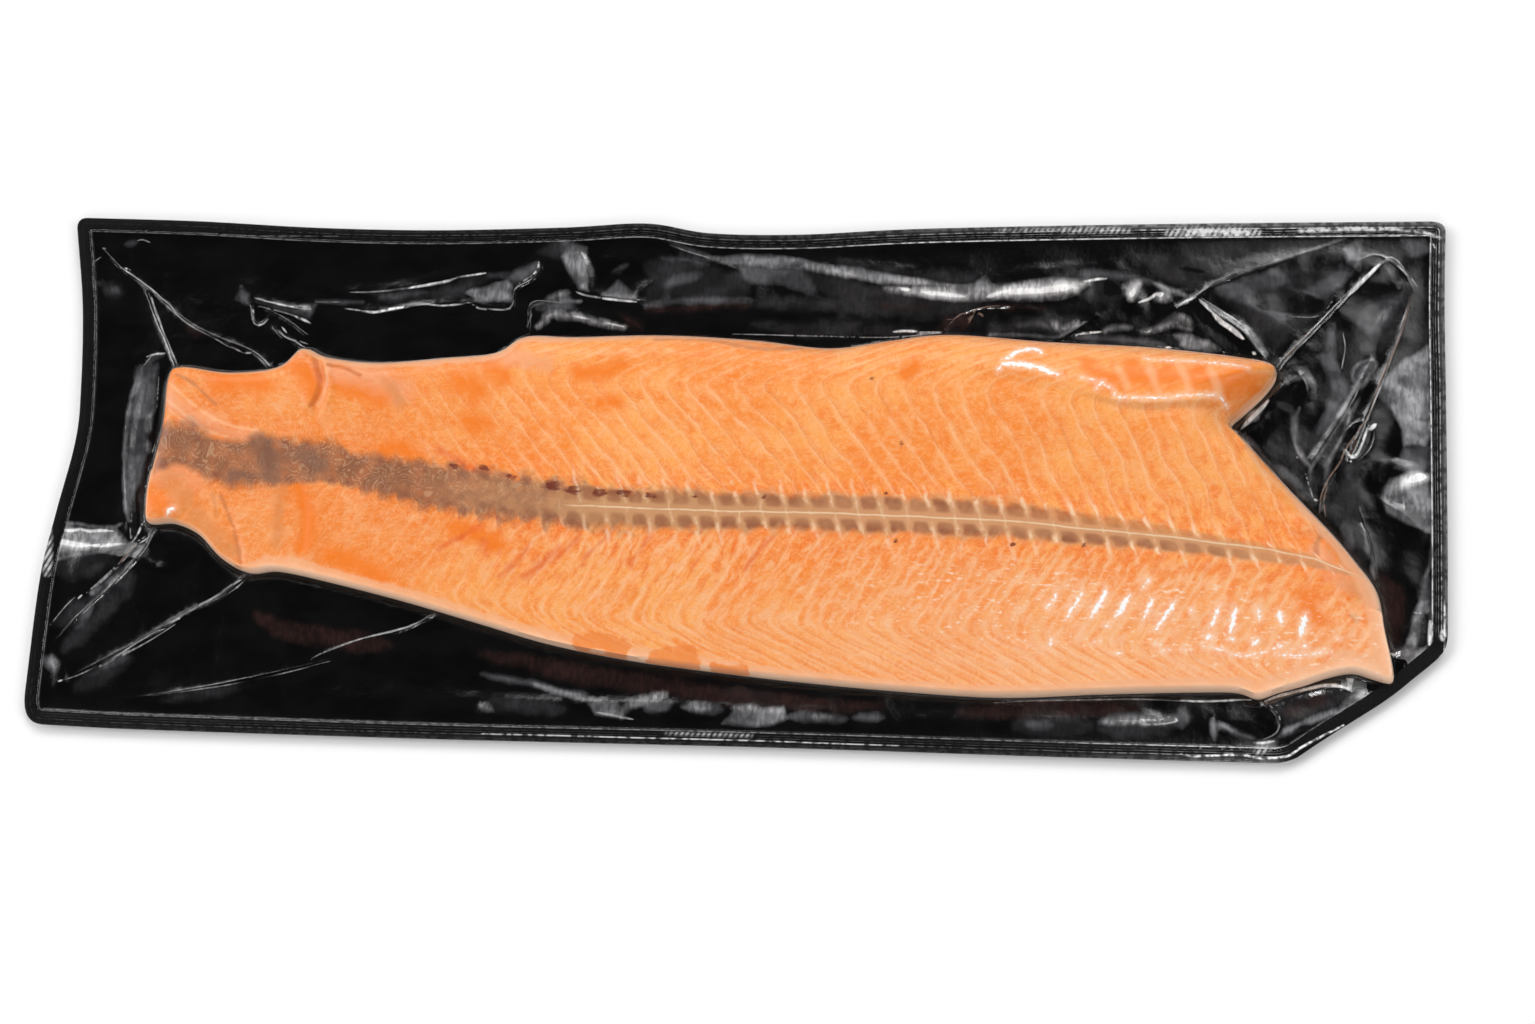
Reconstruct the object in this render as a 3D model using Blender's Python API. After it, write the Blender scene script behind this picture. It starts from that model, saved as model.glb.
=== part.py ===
"""Vacuum pack of salmon: a black bottom web, a whole side of salmon on it and a clear lid film over both.

Lengths are in millimetres until a mesh is made, which is in metres. X runs along the pack, from the
tail to the thick end, Y from the pack's front edge to its back edge, and Z up from the table. The
three pieces share one triangulated plan, so that the lid film follows what it lies on at an even gap.
"""

import math

import bmesh
import bpy
import numpy as np
from mathutils import Vector
from mathutils.geometry import delaunay_2d_cdt

MM = 0.001

# Driving dimensions
PACK_HALF_LENGTH = 310.0
PACK_HALF_WIDTH = 119.5
WEB_THICKNESS = 0.8
FILM_THICKNESS = 0.4
GAP = 0.3
SEAL_WIDTH = 6.0
SEAL_STEP = 1.0
FLANGE_LIFT = 2.5
FLANGE_LIFT_REACH = 26.0
BARE_WEB_PUFF = 1.0
FILLET_LIP = 2.0
TENT_REACH = 4.5
FLAP_GROOVE_WIDTH = 0.7
FLAP_GROOVE_DEPTH = 0.4

# How far apart the plan's points stand
EDGE_STEP = 15.0
FILLET_EDGE_STEP = 10.5
CREASE_STEP = 10.0
MARGIN_GRID = 16.0
FILLET_GRID = 14.0
LEAST_GAP = 3.6

# The pack's edge, counterclockwise from its front left corner, as runs with a corner point between them
FRONT_EDGE = [(-300, -118), (-250, -119), (-120, -119.5), (20, -119), (150, -119.5), (238, -119.5)]
FOLDED_EDGE = [(248, -117), (262, -107), (284, -92), (296, -82), (307, -72)]
RIGHT_EDGE = [(310, -62), (310, -20), (309.5, 40), (309, 80), (309.5, 114)]
BACK_EDGE = [(303, 119.5), (190, 118), (85, 115.5), (28, 112.5), (-13, 113), (-42, 117.5), (-80, 115.5),
             (-140, 114), (-195, 115), (-252, 118), (-306, 119.5)]
LEFT_EDGE = [(-310, 115), (-303, 76), (-299.5, 36), (-299.5, 12), (-305, -22), (-309, -52), (-310, -104)]
EDGE_RUNS = [FRONT_EDGE, FOLDED_EDGE, RIGHT_EDGE, BACK_EDGE, LEFT_EDGE]
EDGE_CORNERS = [(243, -119.5), (310, -69), (310, 119.5), (-310, 119.5), (-310, -118)]

# The fillet's plan, counterclockwise from the tail's front corner
FILLET_PLAN = [
    (-261, -25), (-249, -25), (-237, -30), (-225, -41), (-212, -47), (-199, -46), (-177, -50),
    (-142, -58), (-108, -67), (-74, -76), (-40, -82), (-6, -86), (37, -90), (81, -93), (124, -94.5),
    (166, -92), (208, -90), (224, -90), (232, -92.5), (240, -89.5), (250, -86.5), (261, -82.5),
    (271, -80.5), (280, -83), (287, -84.5), (287.5, -78), (284, -62), (281, -46), (272, -33),
    (262, -21), (244, -2), (225, 19), (219, 25.5), (224, 31), (233, 40), (238, 48), (236, 53),
    (222, 56), (184, 60), (141, 62), (97, 65), (70, 62), (44, 58.5), (10, 62), (-30, 64), (-70, 63),
    (-93, 63), (-106, 55.5), (-128, 53), (-160, 50.5), (-184, 53), (-196, 57), (-207, 48), (-230, 45.5),
    (-253, 48), (-258.5, 42), (-259, 20), (-262.5, -5), (-263, -17),
]

# Along the fillet: x, the midline's y, and the thickness of loin, midline and belly
FILLET_STATIONS = [
    (-262, 9, 7, 6, 6), (-205, 3, 10, 8.5, 8), (-140, -5, 14, 12, 10), (-60, -16, 18, 16, 12),
    (20, -18, 22, 19, 13), (120, -21, 26, 21, 15), (200, -28, 27, 20, 15), (290, -42, 24, 15, 11),
]
BELLY_ROUND = 13.0

# Creases and steps in the flesh: path, depth, half-width
FLESH_CREASES = {
    "tail fold": ([(-190, 56), (-184, 43), (-182, 34), (-186, 26)], 2.2, 4.0),
    "tail dent": ([(-229, -8), (-222, -24), (-215, -46)], 1.4, 5.0),
    "gap in the flakes": ([(-199, -4), (-191, -22), (-184, -39)], 1.0, 5.0),
    "loin step": ([(172, 29), (190, 29.5), (208, 31), (216, 28), (219, 20)], 3.0, 4.0),
    "midline": ([(-255, 9), (-205, 3), (-140, -6), (-60, -17), (20, -19), (129, -22), (190, -28),
                 (237, -33), (264, -39)], 1.2, 7.0),
}

# Folds of the two webs round the fillet: path, height, half-width
FOLDS = {
    "back left diagonal": ([(-296, 105), (-273, 86), (-253, 70), (-221, 56), (-211, 49)], 2.6, 3.5),
    "back left branch": ([(-272, 83), (-262, 61), (-255, 49)], 2.6, 3.5),
    "tail pleat": ([(-266, 52), (-270, 30), (-271, 6), (-267, -34)], 6.0, 7.0),
    "front left shelf": ([(-303, -32), (-282, -34), (-266, -39)], 2.2, 6.0),
    "front left upper": ([(-258, -28), (-264, -41), (-285, -64), (-303, -86)], 3.0, 4.0),
    "front left lower": ([(-216, -50), (-240, -66), (-267, -83), (-294, -98)], 3.0, 4.0),
    "front short": ([(-125, -64), (-161, -77), (-181, -86)], 3.0, 4.0),
    "front long": ([(-170, -85), (-201, -93), (-237, -101), (-278, -108)], 2.6, 6.0),
    "back flap": ([(-223, 81), (-204, 76), (-194, 70)], 3.4, 4.0),
    "back flap hook": ([(-223, 80), (-221, 70), (-215, 71)], 2.4, 3.5),
    "fin fold": ([(-211, 67), (-205, 62), (-196, 58)], 3.0, 3.5),
    "back roll": ([(-196, 106), (-140, 105), (-84, 107), (-40, 109)], 6.0, 9.0),
    "back pleat outer": ([(-188, 84), (-152, 86), (-138, 90), (-99, 96)], 4.6, 6.0),
    "back pleat inner": ([(-179, 76), (-144, 78), (-123, 80), (-103, 77)], 4.4, 5.0),
    "kite": ([(-89, 101), (-78, 96), (-67, 86)], 7.0, 12.0),
    "kite tail": ([(-74, 88), (-58, 83), (-43, 81)], 3.0, 5.0),
    "back diagonal": ([(-35, 109), (-9, 100), (5, 91), (10, 82)], 4.0, 8.0),
    "back swell": ([(-4, 102), (35, 100), (85, 89), (124, 88), (163, 93)], 4.5, 12.0),
    "loin ridge": ([(94, 68), (100, 75), (110, 79.5), (130, 80)], 2.6, 4.0),
    "loin valley": ([(166, 79), (153, 71), (144, 65)], 3.4, 6.0),
    "back right rise": ([(195, 80), (215, 92), (244, 103), (268, 110)], 6.0, 9.0),
    "back right branch": ([(204, 83), (223, 69), (234, 55)], 4.4, 6.0),
    "right long": ([(240, 52), (255, 70), (272, 90), (286, 102)], 7.0, 9.0),
    "right outer": ([(295, 87), (288, 61), (277, 32), (270, 18)], 6.0, 8.0),
    "right inner": ([(278, 56), (267, 34), (253, 10)], 5.0, 7.0),
    "notch fold": ([(248, 49), (234, 37), (223, 26)], 5.0, 6.0),
    "right swell": ([(283, 8), (295, 2), (303, -10)], 5.0, 10.0),
    "right run": ([(286, -9), (302, -22), (300, -45), (293, -68)], 4.6, 8.0),
    "shoulder upper": ([(264, 8), (256, -11)], 3.0, 4.0),
    "shoulder lower": ([(273, -9), (280, -38)], 3.0, 4.0),
    "corner fold": ([(236, -95), (251, -90), (268, -88)], 3.0, 4.0),
    "corner cheek": ([(233, -95), (240, -101), (238, -107), (228, -110)], 4.0, 6.0),
    "corner hem": ([(301, -72), (280, -88), (259, -102), (243, -112)], 2.6, 7.0),
    "front swell": ([(-106, -103), (-40, -102), (30, -104), (80, -105)], 2.8, 7.0),
    "front finger": ([(213, -99), (214, -110)], 3.0, 5.0),
}

# The corner that is folded under: where its two free edges run on the underside
FLAP_TIP = (262.0, -57.0)
FLAP_ENDS = [(303.0, -70.0), (250.0, -111.0)]


def spline(points, step, closed=False):
    """Points about one step apart on a smooth curve through the given ones."""
    knots = [Vector(p) for p in points]
    count = len(knots)
    made = []
    for i in range(count if closed else count - 1):
        if closed:
            before, start, end, after = (knots[(i + k) % count] for k in (-1, 0, 1, 2))
        else:
            start, end = knots[i], knots[i + 1]
            before = knots[i - 1] if i else start * 2 - end
            after = knots[i + 2] if i + 2 < count else end * 2 - start
        pieces = max(1, round((end - start).length / step))
        for k in range(pieces):
            t = k / pieces
            made.append(0.5 * (2 * start + (end - before) * t
                               + (2 * before - 5 * start + 4 * end - after) * t * t
                               + (3 * start - before - 3 * end + after) * t ** 3))
    if not closed:
        made.append(knots[-1])
    return made


def even_loop(points, step):
    """A closed line sampled again at even distances."""
    line = np.array([tuple(p) for p in points] + [tuple(points[0])])
    along = np.concatenate([[0.0], np.cumsum(np.hypot(*np.diff(line, axis=0).T))])
    wanted = np.linspace(0.0, along[-1], max(8, round(along[-1] / step)) + 1)[:-1]
    return [Vector((np.interp(s, along, line[:, 0]), np.interp(s, along, line[:, 1]))) for s in wanted]


def pack_edge():
    """The pack's outline, with a rounded corner between each run and the next."""
    loop = []
    for i, run in enumerate(EDGE_RUNS):
        loop += spline(run, EDGE_STEP)
        start, corner = Vector(run[-1]), Vector(EDGE_CORNERS[i])
        end = Vector(EDGE_RUNS[(i + 1) % len(EDGE_RUNS)][0])
        for t in (0.33, 0.67):
            loop.append(start * (1 - t) ** 2 + corner * 2 * t * (1 - t) + end * t * t)
    return loop


def offset_loop(loop, distance):
    """The loop moved inwards by a distance, or outwards where it is negative."""
    moved = []
    for i, point in enumerate(loop):
        tangent = loop[(i + 1) % len(loop)] - loop[i - 1]
        moved.append(point + Vector((-tangent.y, tangent.x)).normalized() * distance)
    return moved


def distance_to(line, x, y, closed=False):
    """Distance from each place to a line, and how far along the line its nearest point is, 0 to 1."""
    points = np.array([tuple(p) for p in line])
    if closed:
        points = np.vstack([points, points[:1]])
    lengths = np.hypot(*np.diff(points, axis=0).T)
    along = np.concatenate([[0.0], np.cumsum(lengths)])
    best = np.full(x.shape, 1e9)
    place = np.zeros(x.shape)
    for i, length in enumerate(lengths):
        (ax, ay), (bx, by) = points[i], points[i + 1]
        t = np.clip(((x - ax) * (bx - ax) + (y - ay) * (by - ay)) / length ** 2, 0.0, 1.0)
        d = np.hypot(x - ax - t * (bx - ax), y - ay - t * (by - ay))
        place = np.where(d < best, (along[i] + t * length) / along[-1], place)
        best = np.minimum(best, d)
    return best, place


def inside(loop, x, y):
    """True for each place that the closed loop holds."""
    held = np.zeros(x.shape, bool)
    for i, point in enumerate(loop):
        last = loop[i - 1]
        crosses = (point.y > y) != (last.y > y)
        rise = last.y - point.y if last.y != point.y else 1e-12
        held ^= crosses & (x < (last.x - point.x) * (y - point.y) / rise + point.x)
    return held


def smooth(t):
    """0 to 1 with level ends."""
    t = np.clip(t, 0.0, 1.0)
    return t * t * (3 - 2 * t)


def fold_height(folds, x, y):
    """The highest fold at each place. Each is a rounded tent that dies out at both ends of its path."""
    height = np.zeros(x.shape)
    for path, peak, half_width in folds.values():
        d, place = distance_to(spline(path, 6.0), x, y)
        across = np.clip(1 - d / half_width, 0.0, 1.0)
        ends = smooth(np.minimum(place, 1 - place) / 0.18 + 0.25)
        height = np.maximum(height, peak * across ** 1.2 * ends)
    return height


def fillet_thickness(x, y, edge_distance):
    """Thickness of the side of salmon: a full loin, a shallow midline, a thin belly and rounded edges."""
    table = np.array(FILLET_STATIONS, float)
    midline, loin, middle, belly = (np.interp(x, table[:, 0], table[:, k]) for k in (1, 2, 3, 4))
    back = np.interp(x, [-255, -207, -93, 44, 97, 238], [47, 48, 63, 58.5, 65, 52])
    front = np.interp(x, [-261, -212, -6, 124, 287], [-25, -47, -86, -94.5, -84])
    to_back = np.clip((y - midline) / (back - midline), 0.0, 1.0)
    to_front = np.clip((midline - y) / (midline - front), 0.0, 1.0)
    thick = middle + (loin - middle) * np.sin(np.pi * np.minimum(to_back * 1.1, 1.0)) ** 0.8
    thick = thick - (middle - belly) * to_front ** 1.2
    reach = np.where(to_front > 0.3, BELLY_ROUND, 0.75 * thick)
    rounding = np.sqrt(1 - (1 - np.clip(edge_distance / reach, 0.0, 1.0)) ** 2)
    return FILLET_LIP + (thick - FILLET_LIP) * rounding


class Plan:
    """The plan's points and triangles, and the height of each piece at every point."""

    def __init__(self):
        self.edge = pack_edge()
        self.fillet = even_loop(spline(FILLET_PLAN, 4.0, closed=True), FILLET_EDGE_STEP)
        self.points, self.faces = self.triangulate()
        x, y = self.points.T
        centre = self.points[self.faces].mean(1)
        self.under_fillet = inside(self.fillet, *centre.T)
        from_edge, _ = distance_to(self.edge, x, y, closed=True)
        from_fillet, _ = distance_to(self.fillet, x, y, closed=True)
        on_fillet = inside(self.fillet, x, y) | (from_fillet < 0.01)
        clear = np.where(on_fillet, 0.0, from_fillet)
        self.web = self.web_height(x, y, from_edge, clear)
        inner = np.where(on_fillet, from_fillet, 0.0)
        creases = sum(-depth * np.clip(1 - distance_to(path, x, y)[0] / half, 0.0, 1.0)
                      for path, depth, half in FLESH_CREASES.values())
        creases = creases * smooth(inner / 4.0 + 0.2)
        self.fillet_floor = WEB_THICKNESS + GAP
        thick = fillet_thickness(x, y, inner)
        self.flesh = self.fillet_floor + np.maximum(thick + creases, FILLET_LIP)
        fall = np.clip(clear / TENT_REACH, 0.0, 1.0)
        tent = (self.fillet_floor + FILLET_LIP) * (1 - fall) + self.web * fall
        folds = WEB_THICKNESS + fold_height(FOLDS, x, y) * smooth(from_edge / 9.0)
        beside = np.maximum(np.maximum(self.web, tent), folds)
        self.film = GAP + np.where(on_fillet, self.flesh, beside)

    def web_height(self, x, y, from_edge, clear):
        """Top of the bottom web: flat below the fillet, creased round it, lifted at the sealed rim."""
        folds = fold_height(FOLDS, x, y)
        rim = FLANGE_LIFT * smooth(1 - from_edge / FLANGE_LIFT_REACH)
        puff = BARE_WEB_PUFF * smooth((from_edge - SEAL_WIDTH) / 4.0) * smooth(clear / 20.0)
        step = SEAL_STEP * smooth((from_edge - SEAL_WIDTH * 0.6) / 3.0)
        raised = rim + puff + step + folds * smooth(from_edge / 9.0)
        return WEB_THICKNESS + raised * smooth(clear / 12.0)

    def triangulate(self):
        """Fixed lines first, then crease feet and a loose grid wherever there is still room."""
        loops = [self.edge, offset_loop(self.edge, SEAL_WIDTH), self.fillet]
        paths = [spline(path, CREASE_STEP) for path, _, _ in FOLDS.values()]
        paths += [spline(path, CREASE_STEP) for path, _, _ in FLESH_CREASES.values()]
        loose = offset_loop(self.fillet, -TENT_REACH) + offset_loop(self.fillet, 3.5)
        loose += offset_loop(self.fillet, 9.0)
        for path, _, half in FOLDS.values():
            line = spline(path, CREASE_STEP * 1.4)
            for i in range(1, len(line)):
                along = (line[i] - line[i - 1]).normalized()
                side = Vector((-along.y, along.x)) * half
                middle = (line[i] + line[i - 1]) / 2
                loose += [middle + side, middle - side]
        loose += self.grid(FILLET_GRID, on_fillet=True) + self.grid(MARGIN_GRID, on_fillet=False)
        points, edges = [], []
        for line, closed in [(loop, True) for loop in loops] + [(path, False) for path in paths]:
            kept = []
            for p in line:
                near = [i for i, q in enumerate(points) if (q - p).length < 1.6]
                if near and not closed:
                    kept.append(near[0])
                else:
                    points.append(p)
                    kept.append(len(points) - 1)
            pairs = list(zip(kept, kept[1:])) + ([(kept[-1], kept[0])] if closed else [])
            edges += [pair for pair in pairs if pair[0] != pair[1]]
        for p in loose:
            if all((q - p).length > LEAST_GAP for q in points):
                points.append(p)
        made, _, faces, _, _, _ = delaunay_2d_cdt(points, edges, [], 0, 1e-4)
        made = np.array([tuple(p) for p in made])
        faces = np.array(faces)
        centre = made[faces].mean(1)
        faces = faces[inside(self.edge, *centre.T)]
        used = np.unique(faces)
        renumber = np.full(len(made), -1)
        renumber[used] = np.arange(len(used))
        return made[used], renumber[faces]

    def grid(self, pitch, on_fillet):
        """A triangular grid of loose points, kept on the fillet or on the bare webs."""
        places = []
        row_height = pitch * math.sqrt(3) / 2
        for row in range(int(2 * PACK_HALF_WIDTH / row_height) + 1):
            shift = pitch / 2 * (row % 2)
            for column in range(int(2 * PACK_HALF_LENGTH / pitch) + 1):
                places.append((column * pitch + shift - PACK_HALF_LENGTH, row * row_height - PACK_HALF_WIDTH))
        x, y = np.array(places).T
        from_edge, _ = distance_to(self.edge, x, y, closed=True)
        from_fillet, _ = distance_to(self.fillet, x, y, closed=True)
        right_side = inside(self.fillet, x, y) == on_fillet
        clear = np.where(on_fillet, from_fillet > pitch, from_fillet > pitch * 0.6)
        kept = inside(self.edge, x, y) & right_side & clear & (from_edge > SEAL_WIDTH + pitch * 0.5)
        return [Vector(place) for place in np.array(places)[kept]]


def sheet(name, plan, faces, top, bottom, material):
    """A closed solid between two heights over some of the plan's triangles, with a wall round its rim."""
    used = np.unique(faces)
    number = {int(v): i for i, v in enumerate(used)}
    mesh = bmesh.new()
    upper = [mesh.verts.new((*(plan.points[v] * MM), top[v] * MM)) for v in used]
    lower = [mesh.verts.new((*(plan.points[v] * MM), bottom[v] * MM)) for v in used]
    rim = {}
    for face in faces:
        a, b, c = (number[int(v)] for v in face)
        mesh.faces.new((upper[a], upper[b], upper[c]))
        mesh.faces.new((lower[c], lower[b], lower[a]))
        for start, end in ((a, b), (b, c), (c, a)):
            if (end, start) in rim:
                del rim[(end, start)]
            else:
                rim[(start, end)] = True
    for start, end in rim:
        mesh.faces.new((upper[end], upper[start], lower[start]))
        mesh.faces.new((upper[end], lower[start], lower[end]))
    return add_object(name, mesh, material)


def add_object(name, mesh, material):
    """Makes an object of a bmesh, shaded smooth but for its sharp edges."""
    data = bpy.data.meshes.new(name)
    bmesh.ops.recalc_face_normals(mesh, faces=mesh.faces)
    mesh.to_mesh(data)
    mesh.free()
    data.materials.append(material)
    data.shade_smooth()
    data.set_sharp_from_angle(angle=math.radians(50))
    thing = bpy.data.objects.new(name, data)
    bpy.context.scene.collection.objects.link(thing)
    return thing


def finish(name, colour, roughness, alpha=1.0):
    """A plastic or flesh finish: colour, roughness and how much light it stops."""
    material = bpy.data.materials.new(name)
    material.use_nodes = True
    shader = material.node_tree.nodes["Principled BSDF"]
    shader.inputs["Base Color"].default_value = (*colour, 1.0)
    shader.inputs["Roughness"].default_value = roughness
    shader.inputs["Metallic"].default_value = 0.0
    shader.inputs["Alpha"].default_value = alpha
    return material


def web_faces(plan):
    """The plan's triangles outside the fillet, with the hidden flat part below it in far fewer."""
    outer = plan.faces[~plan.under_fillet]
    middle = plan.faces[plan.under_fillet]
    ends = {}
    for face in middle:
        for start, end in zip(face, np.roll(face, -1)):
            key = (int(end), int(start))
            if key in ends:
                del ends[key]
            else:
                ends[(int(start), int(end))] = True
    loop = sorted({v for pair in ends for v in pair})
    place = {v: i for i, v in enumerate(loop)}
    edges = [(place[a], place[b]) for a, b in ends]
    corners = [Vector(plan.points[v]) for v in loop]
    made, _, faces, _, _, _ = delaunay_2d_cdt(corners, edges, [], 0, 1e-4)
    faces = np.array(faces)
    centre = np.array([tuple(p) for p in made])[faces].mean(1)
    faces = faces[inside(plan.fillet, *centre.T)]
    return np.vstack([outer, np.array(loop)[faces]]), np.array(loop)[faces]


def fillet_solid(plan, floor_faces, material):
    """The salmon: relief on top, a low wall round its edge and a flat underside."""
    faces = plan.faces[plan.under_fillet]
    mesh = bmesh.new()
    upper = {int(v): mesh.verts.new((*(plan.points[v] * MM), plan.flesh[v] * MM)) for v in np.unique(faces)}
    rim = sorted({int(v) for v in np.unique(floor_faces)})
    lower = {v: mesh.verts.new((*(plan.points[v] * MM), plan.fillet_floor * MM)) for v in rim}
    for face in faces:
        mesh.faces.new([upper[int(v)] for v in face])
    for face in floor_faces:
        mesh.faces.new([lower[int(v)] for v in reversed(face)])
    for edge in [e for e in mesh.edges if e.is_boundary and e.verts[0] in set(upper.values())]:
        start, end = (next(v for v, made in upper.items() if made is end) for end in edge.verts)
        mesh.faces.new((upper[start], upper[end], lower[end]))
        mesh.faces.new((upper[start], lower[end], lower[start]))
    return add_object("fillet", mesh, material)


def flap_groove(web):
    """Cuts the line of the folded-under corner's free edges into the underside."""
    mesh = bmesh.new()
    path = [Vector(FLAP_ENDS[0]), Vector(FLAP_TIP), Vector(FLAP_ENDS[1])]
    half = FLAP_GROOVE_WIDTH / 2
    sides = []
    for side in (half, -half):
        bisector = ((path[0] - path[1]).normalized() + (path[2] - path[1]).normalized()).normalized()
        turn = (path[1] - path[0]).normalized()
        normal = Vector((-turn.y, turn.x))
        last_turn = (path[2] - path[1]).normalized()
        last = Vector((-last_turn.y, last_turn.x))
        mitre = bisector * (side / bisector.dot(normal))
        sides.append([path[0] + normal * side, path[1] + mitre, path[2] + last * side])
    outline = sides[0] + sides[1][::-1]
    rings = [[mesh.verts.new((p.x * MM, p.y * MM, z * MM)) for p in outline]
             for z in (-1.0, FLAP_GROOVE_DEPTH)]
    count = len(outline)
    for quad in ((0, 1, 4, 5), (1, 2, 3, 4)):
        mesh.faces.new([rings[0][k] for k in quad])
        mesh.faces.new([rings[1][k] for k in reversed(quad)])
    for k in range(count):
        after = (k + 1) % count
        mesh.faces.new((rings[0][k], rings[0][after], rings[1][after], rings[1][k]))
    cutter = add_object("flap_cutter", mesh, web.data.materials[0])
    cut = web.modifiers.new("flap edge", "BOOLEAN")
    cut.operation = "DIFFERENCE"
    cut.object = cutter
    cutter.hide_render = True
    cutter.display_type = "WIRE"


def main():
    for thing in list(bpy.data.objects):
        bpy.data.objects.remove(thing, do_unlink=True)
    plan = Plan()
    black = finish("black bottom web", (0.012, 0.012, 0.014), 0.28)
    flesh = finish("raw salmon", (0.90, 0.32, 0.11), 0.38)
    clear = finish("clear lid film", (0.95, 0.96, 0.97), 0.08, alpha=0.22)
    faces, floor_faces = web_faces(plan)
    web = sheet("base_web", plan, faces, plan.web, plan.web - WEB_THICKNESS, black)
    flap_groove(web)
    fillet_solid(plan, floor_faces, flesh)
    sheet("top_film", plan, plan.faces, plan.film + FILM_THICKNESS, plan.film, clear)


main()
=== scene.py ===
import math

import bpy
import numpy as np
from mathutils import Matrix, Vector, noise
from mathutils.geometry import delaunay_2d_cdt


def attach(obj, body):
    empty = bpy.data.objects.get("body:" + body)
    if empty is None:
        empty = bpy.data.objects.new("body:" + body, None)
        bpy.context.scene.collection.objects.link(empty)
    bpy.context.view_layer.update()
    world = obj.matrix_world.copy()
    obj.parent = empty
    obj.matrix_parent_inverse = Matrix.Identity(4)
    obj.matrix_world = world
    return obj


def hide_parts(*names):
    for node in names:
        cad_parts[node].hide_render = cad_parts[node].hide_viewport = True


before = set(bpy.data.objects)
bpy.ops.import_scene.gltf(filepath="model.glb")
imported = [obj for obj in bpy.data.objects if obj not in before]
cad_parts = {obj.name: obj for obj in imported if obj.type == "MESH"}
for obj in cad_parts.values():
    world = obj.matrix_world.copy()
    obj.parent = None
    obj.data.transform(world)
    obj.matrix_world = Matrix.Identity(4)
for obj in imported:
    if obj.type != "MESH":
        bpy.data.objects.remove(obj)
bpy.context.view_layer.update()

# ---- Studio ---------------------------------------------------------------------------------------
# A sheet of white card under a dim sky with large soft lamps all round. The camera looks down on the
# pack from a little to its right, turned so that the pack lies level in the frame.
CAMERA_AZIMUTH, CAMERA_ELEVATION, CAMERA_ROLL = 31.4, 73.8, -29.4
CAMERA_DISTANCE, CAMERA_AIM, CAMERA_LENS = 1.306, (0.0192, -0.0144, 0.0), 70.0
SKY_HORIZON, SKY_ZENITH = 0.28, 0.02
# Each lamp: azimuth (0 in front, 90 to the right), elevation, radius in degrees and brightness
SOFT_LAMPS = {
    "left": (-98, 36, 30, 6.5),
    "back left": (-150, 40, 23, 4.5),
    "back": (165, 42, 26, 6.5),
    "right, high": (140, 62, 24, 1.2),
    "right": (80, 36, 27, 5.0),
    "front": (-5, 38, 27, 3.2),
    "overhead": (14, 75, 7, 20.0),
}
LAMP_FALL = 3.0


def linear(hex_colour):
    """An sRGB hex colour as the linear colour that shaders take."""
    parts = [int(hex_colour[i:i + 2], 16) / 255 for i in (1, 3, 5)]
    return [c / 12.92 if c <= 0.04045 else ((c + 0.055) / 1.055) ** 2.4 for c in parts] + [1.0]


def direction(azimuth, elevation):
    """Unit vector from the pack to a place round it."""
    a, e = math.radians(azimuth), math.radians(elevation)
    return Vector((math.sin(a) * math.cos(e), -math.cos(a) * math.cos(e), math.sin(e)))


def node(tree, kind, inputs=None, **settings):
    """Adds one node with its settings, then sets each input or links it to another node's output."""
    made = tree.nodes.new(kind)
    for key, value in settings.items():
        setattr(made, key, value)
    for key, value in (inputs or {}).items():
        if isinstance(value, bpy.types.NodeSocket):
            tree.links.new(value, made.inputs[key])
        else:
            made.inputs[key].default_value = value
    return made


def new_material(name):
    """A material with an empty node tree, and that tree."""
    made = bpy.data.materials.new(name)
    made.use_nodes = True
    made.node_tree.nodes.clear()
    return made, made.node_tree


camera_data = bpy.data.cameras.new("camera")
camera_data.lens = CAMERA_LENS
camera_data.clip_start = 0.01
camera = bpy.data.objects.new("camera", camera_data)
away = direction(CAMERA_AZIMUTH, CAMERA_ELEVATION)
level = (-away).cross(Vector((0, 0, 1))).normalized()
rise = level.cross(-away)
turn = math.radians(CAMERA_ROLL)
right = level * math.cos(turn) + rise * math.sin(turn)
up = rise * math.cos(turn) - level * math.sin(turn)
camera.matrix_world = (Matrix.Translation(Vector(CAMERA_AIM) + away * CAMERA_DISTANCE)
                       @ Matrix((right, up, away)).transposed().to_4x4())
bpy.context.scene.collection.objects.link(camera)
bpy.context.scene.camera = camera
bpy.context.scene.view_settings.view_transform = "Standard"

# Matt white card: even and almost without gloss, so that it shows little but the pack's soft shadow
card, tree = new_material("matt white card")
shader = node(tree, "ShaderNodeBsdfPrincipled", {"Base Color": linear("#FCFCFC"), "Roughness": 0.75,
                                                 "Specular IOR Level": 0.2})
node(tree, "ShaderNodeOutputMaterial", {"Surface": shader.outputs[0]})
bpy.ops.mesh.primitive_plane_add(size=8.0, location=(0, 0, -0.0004))
floor = bpy.context.object
floor.name = "floor"
floor.data.materials.append(card)

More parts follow.
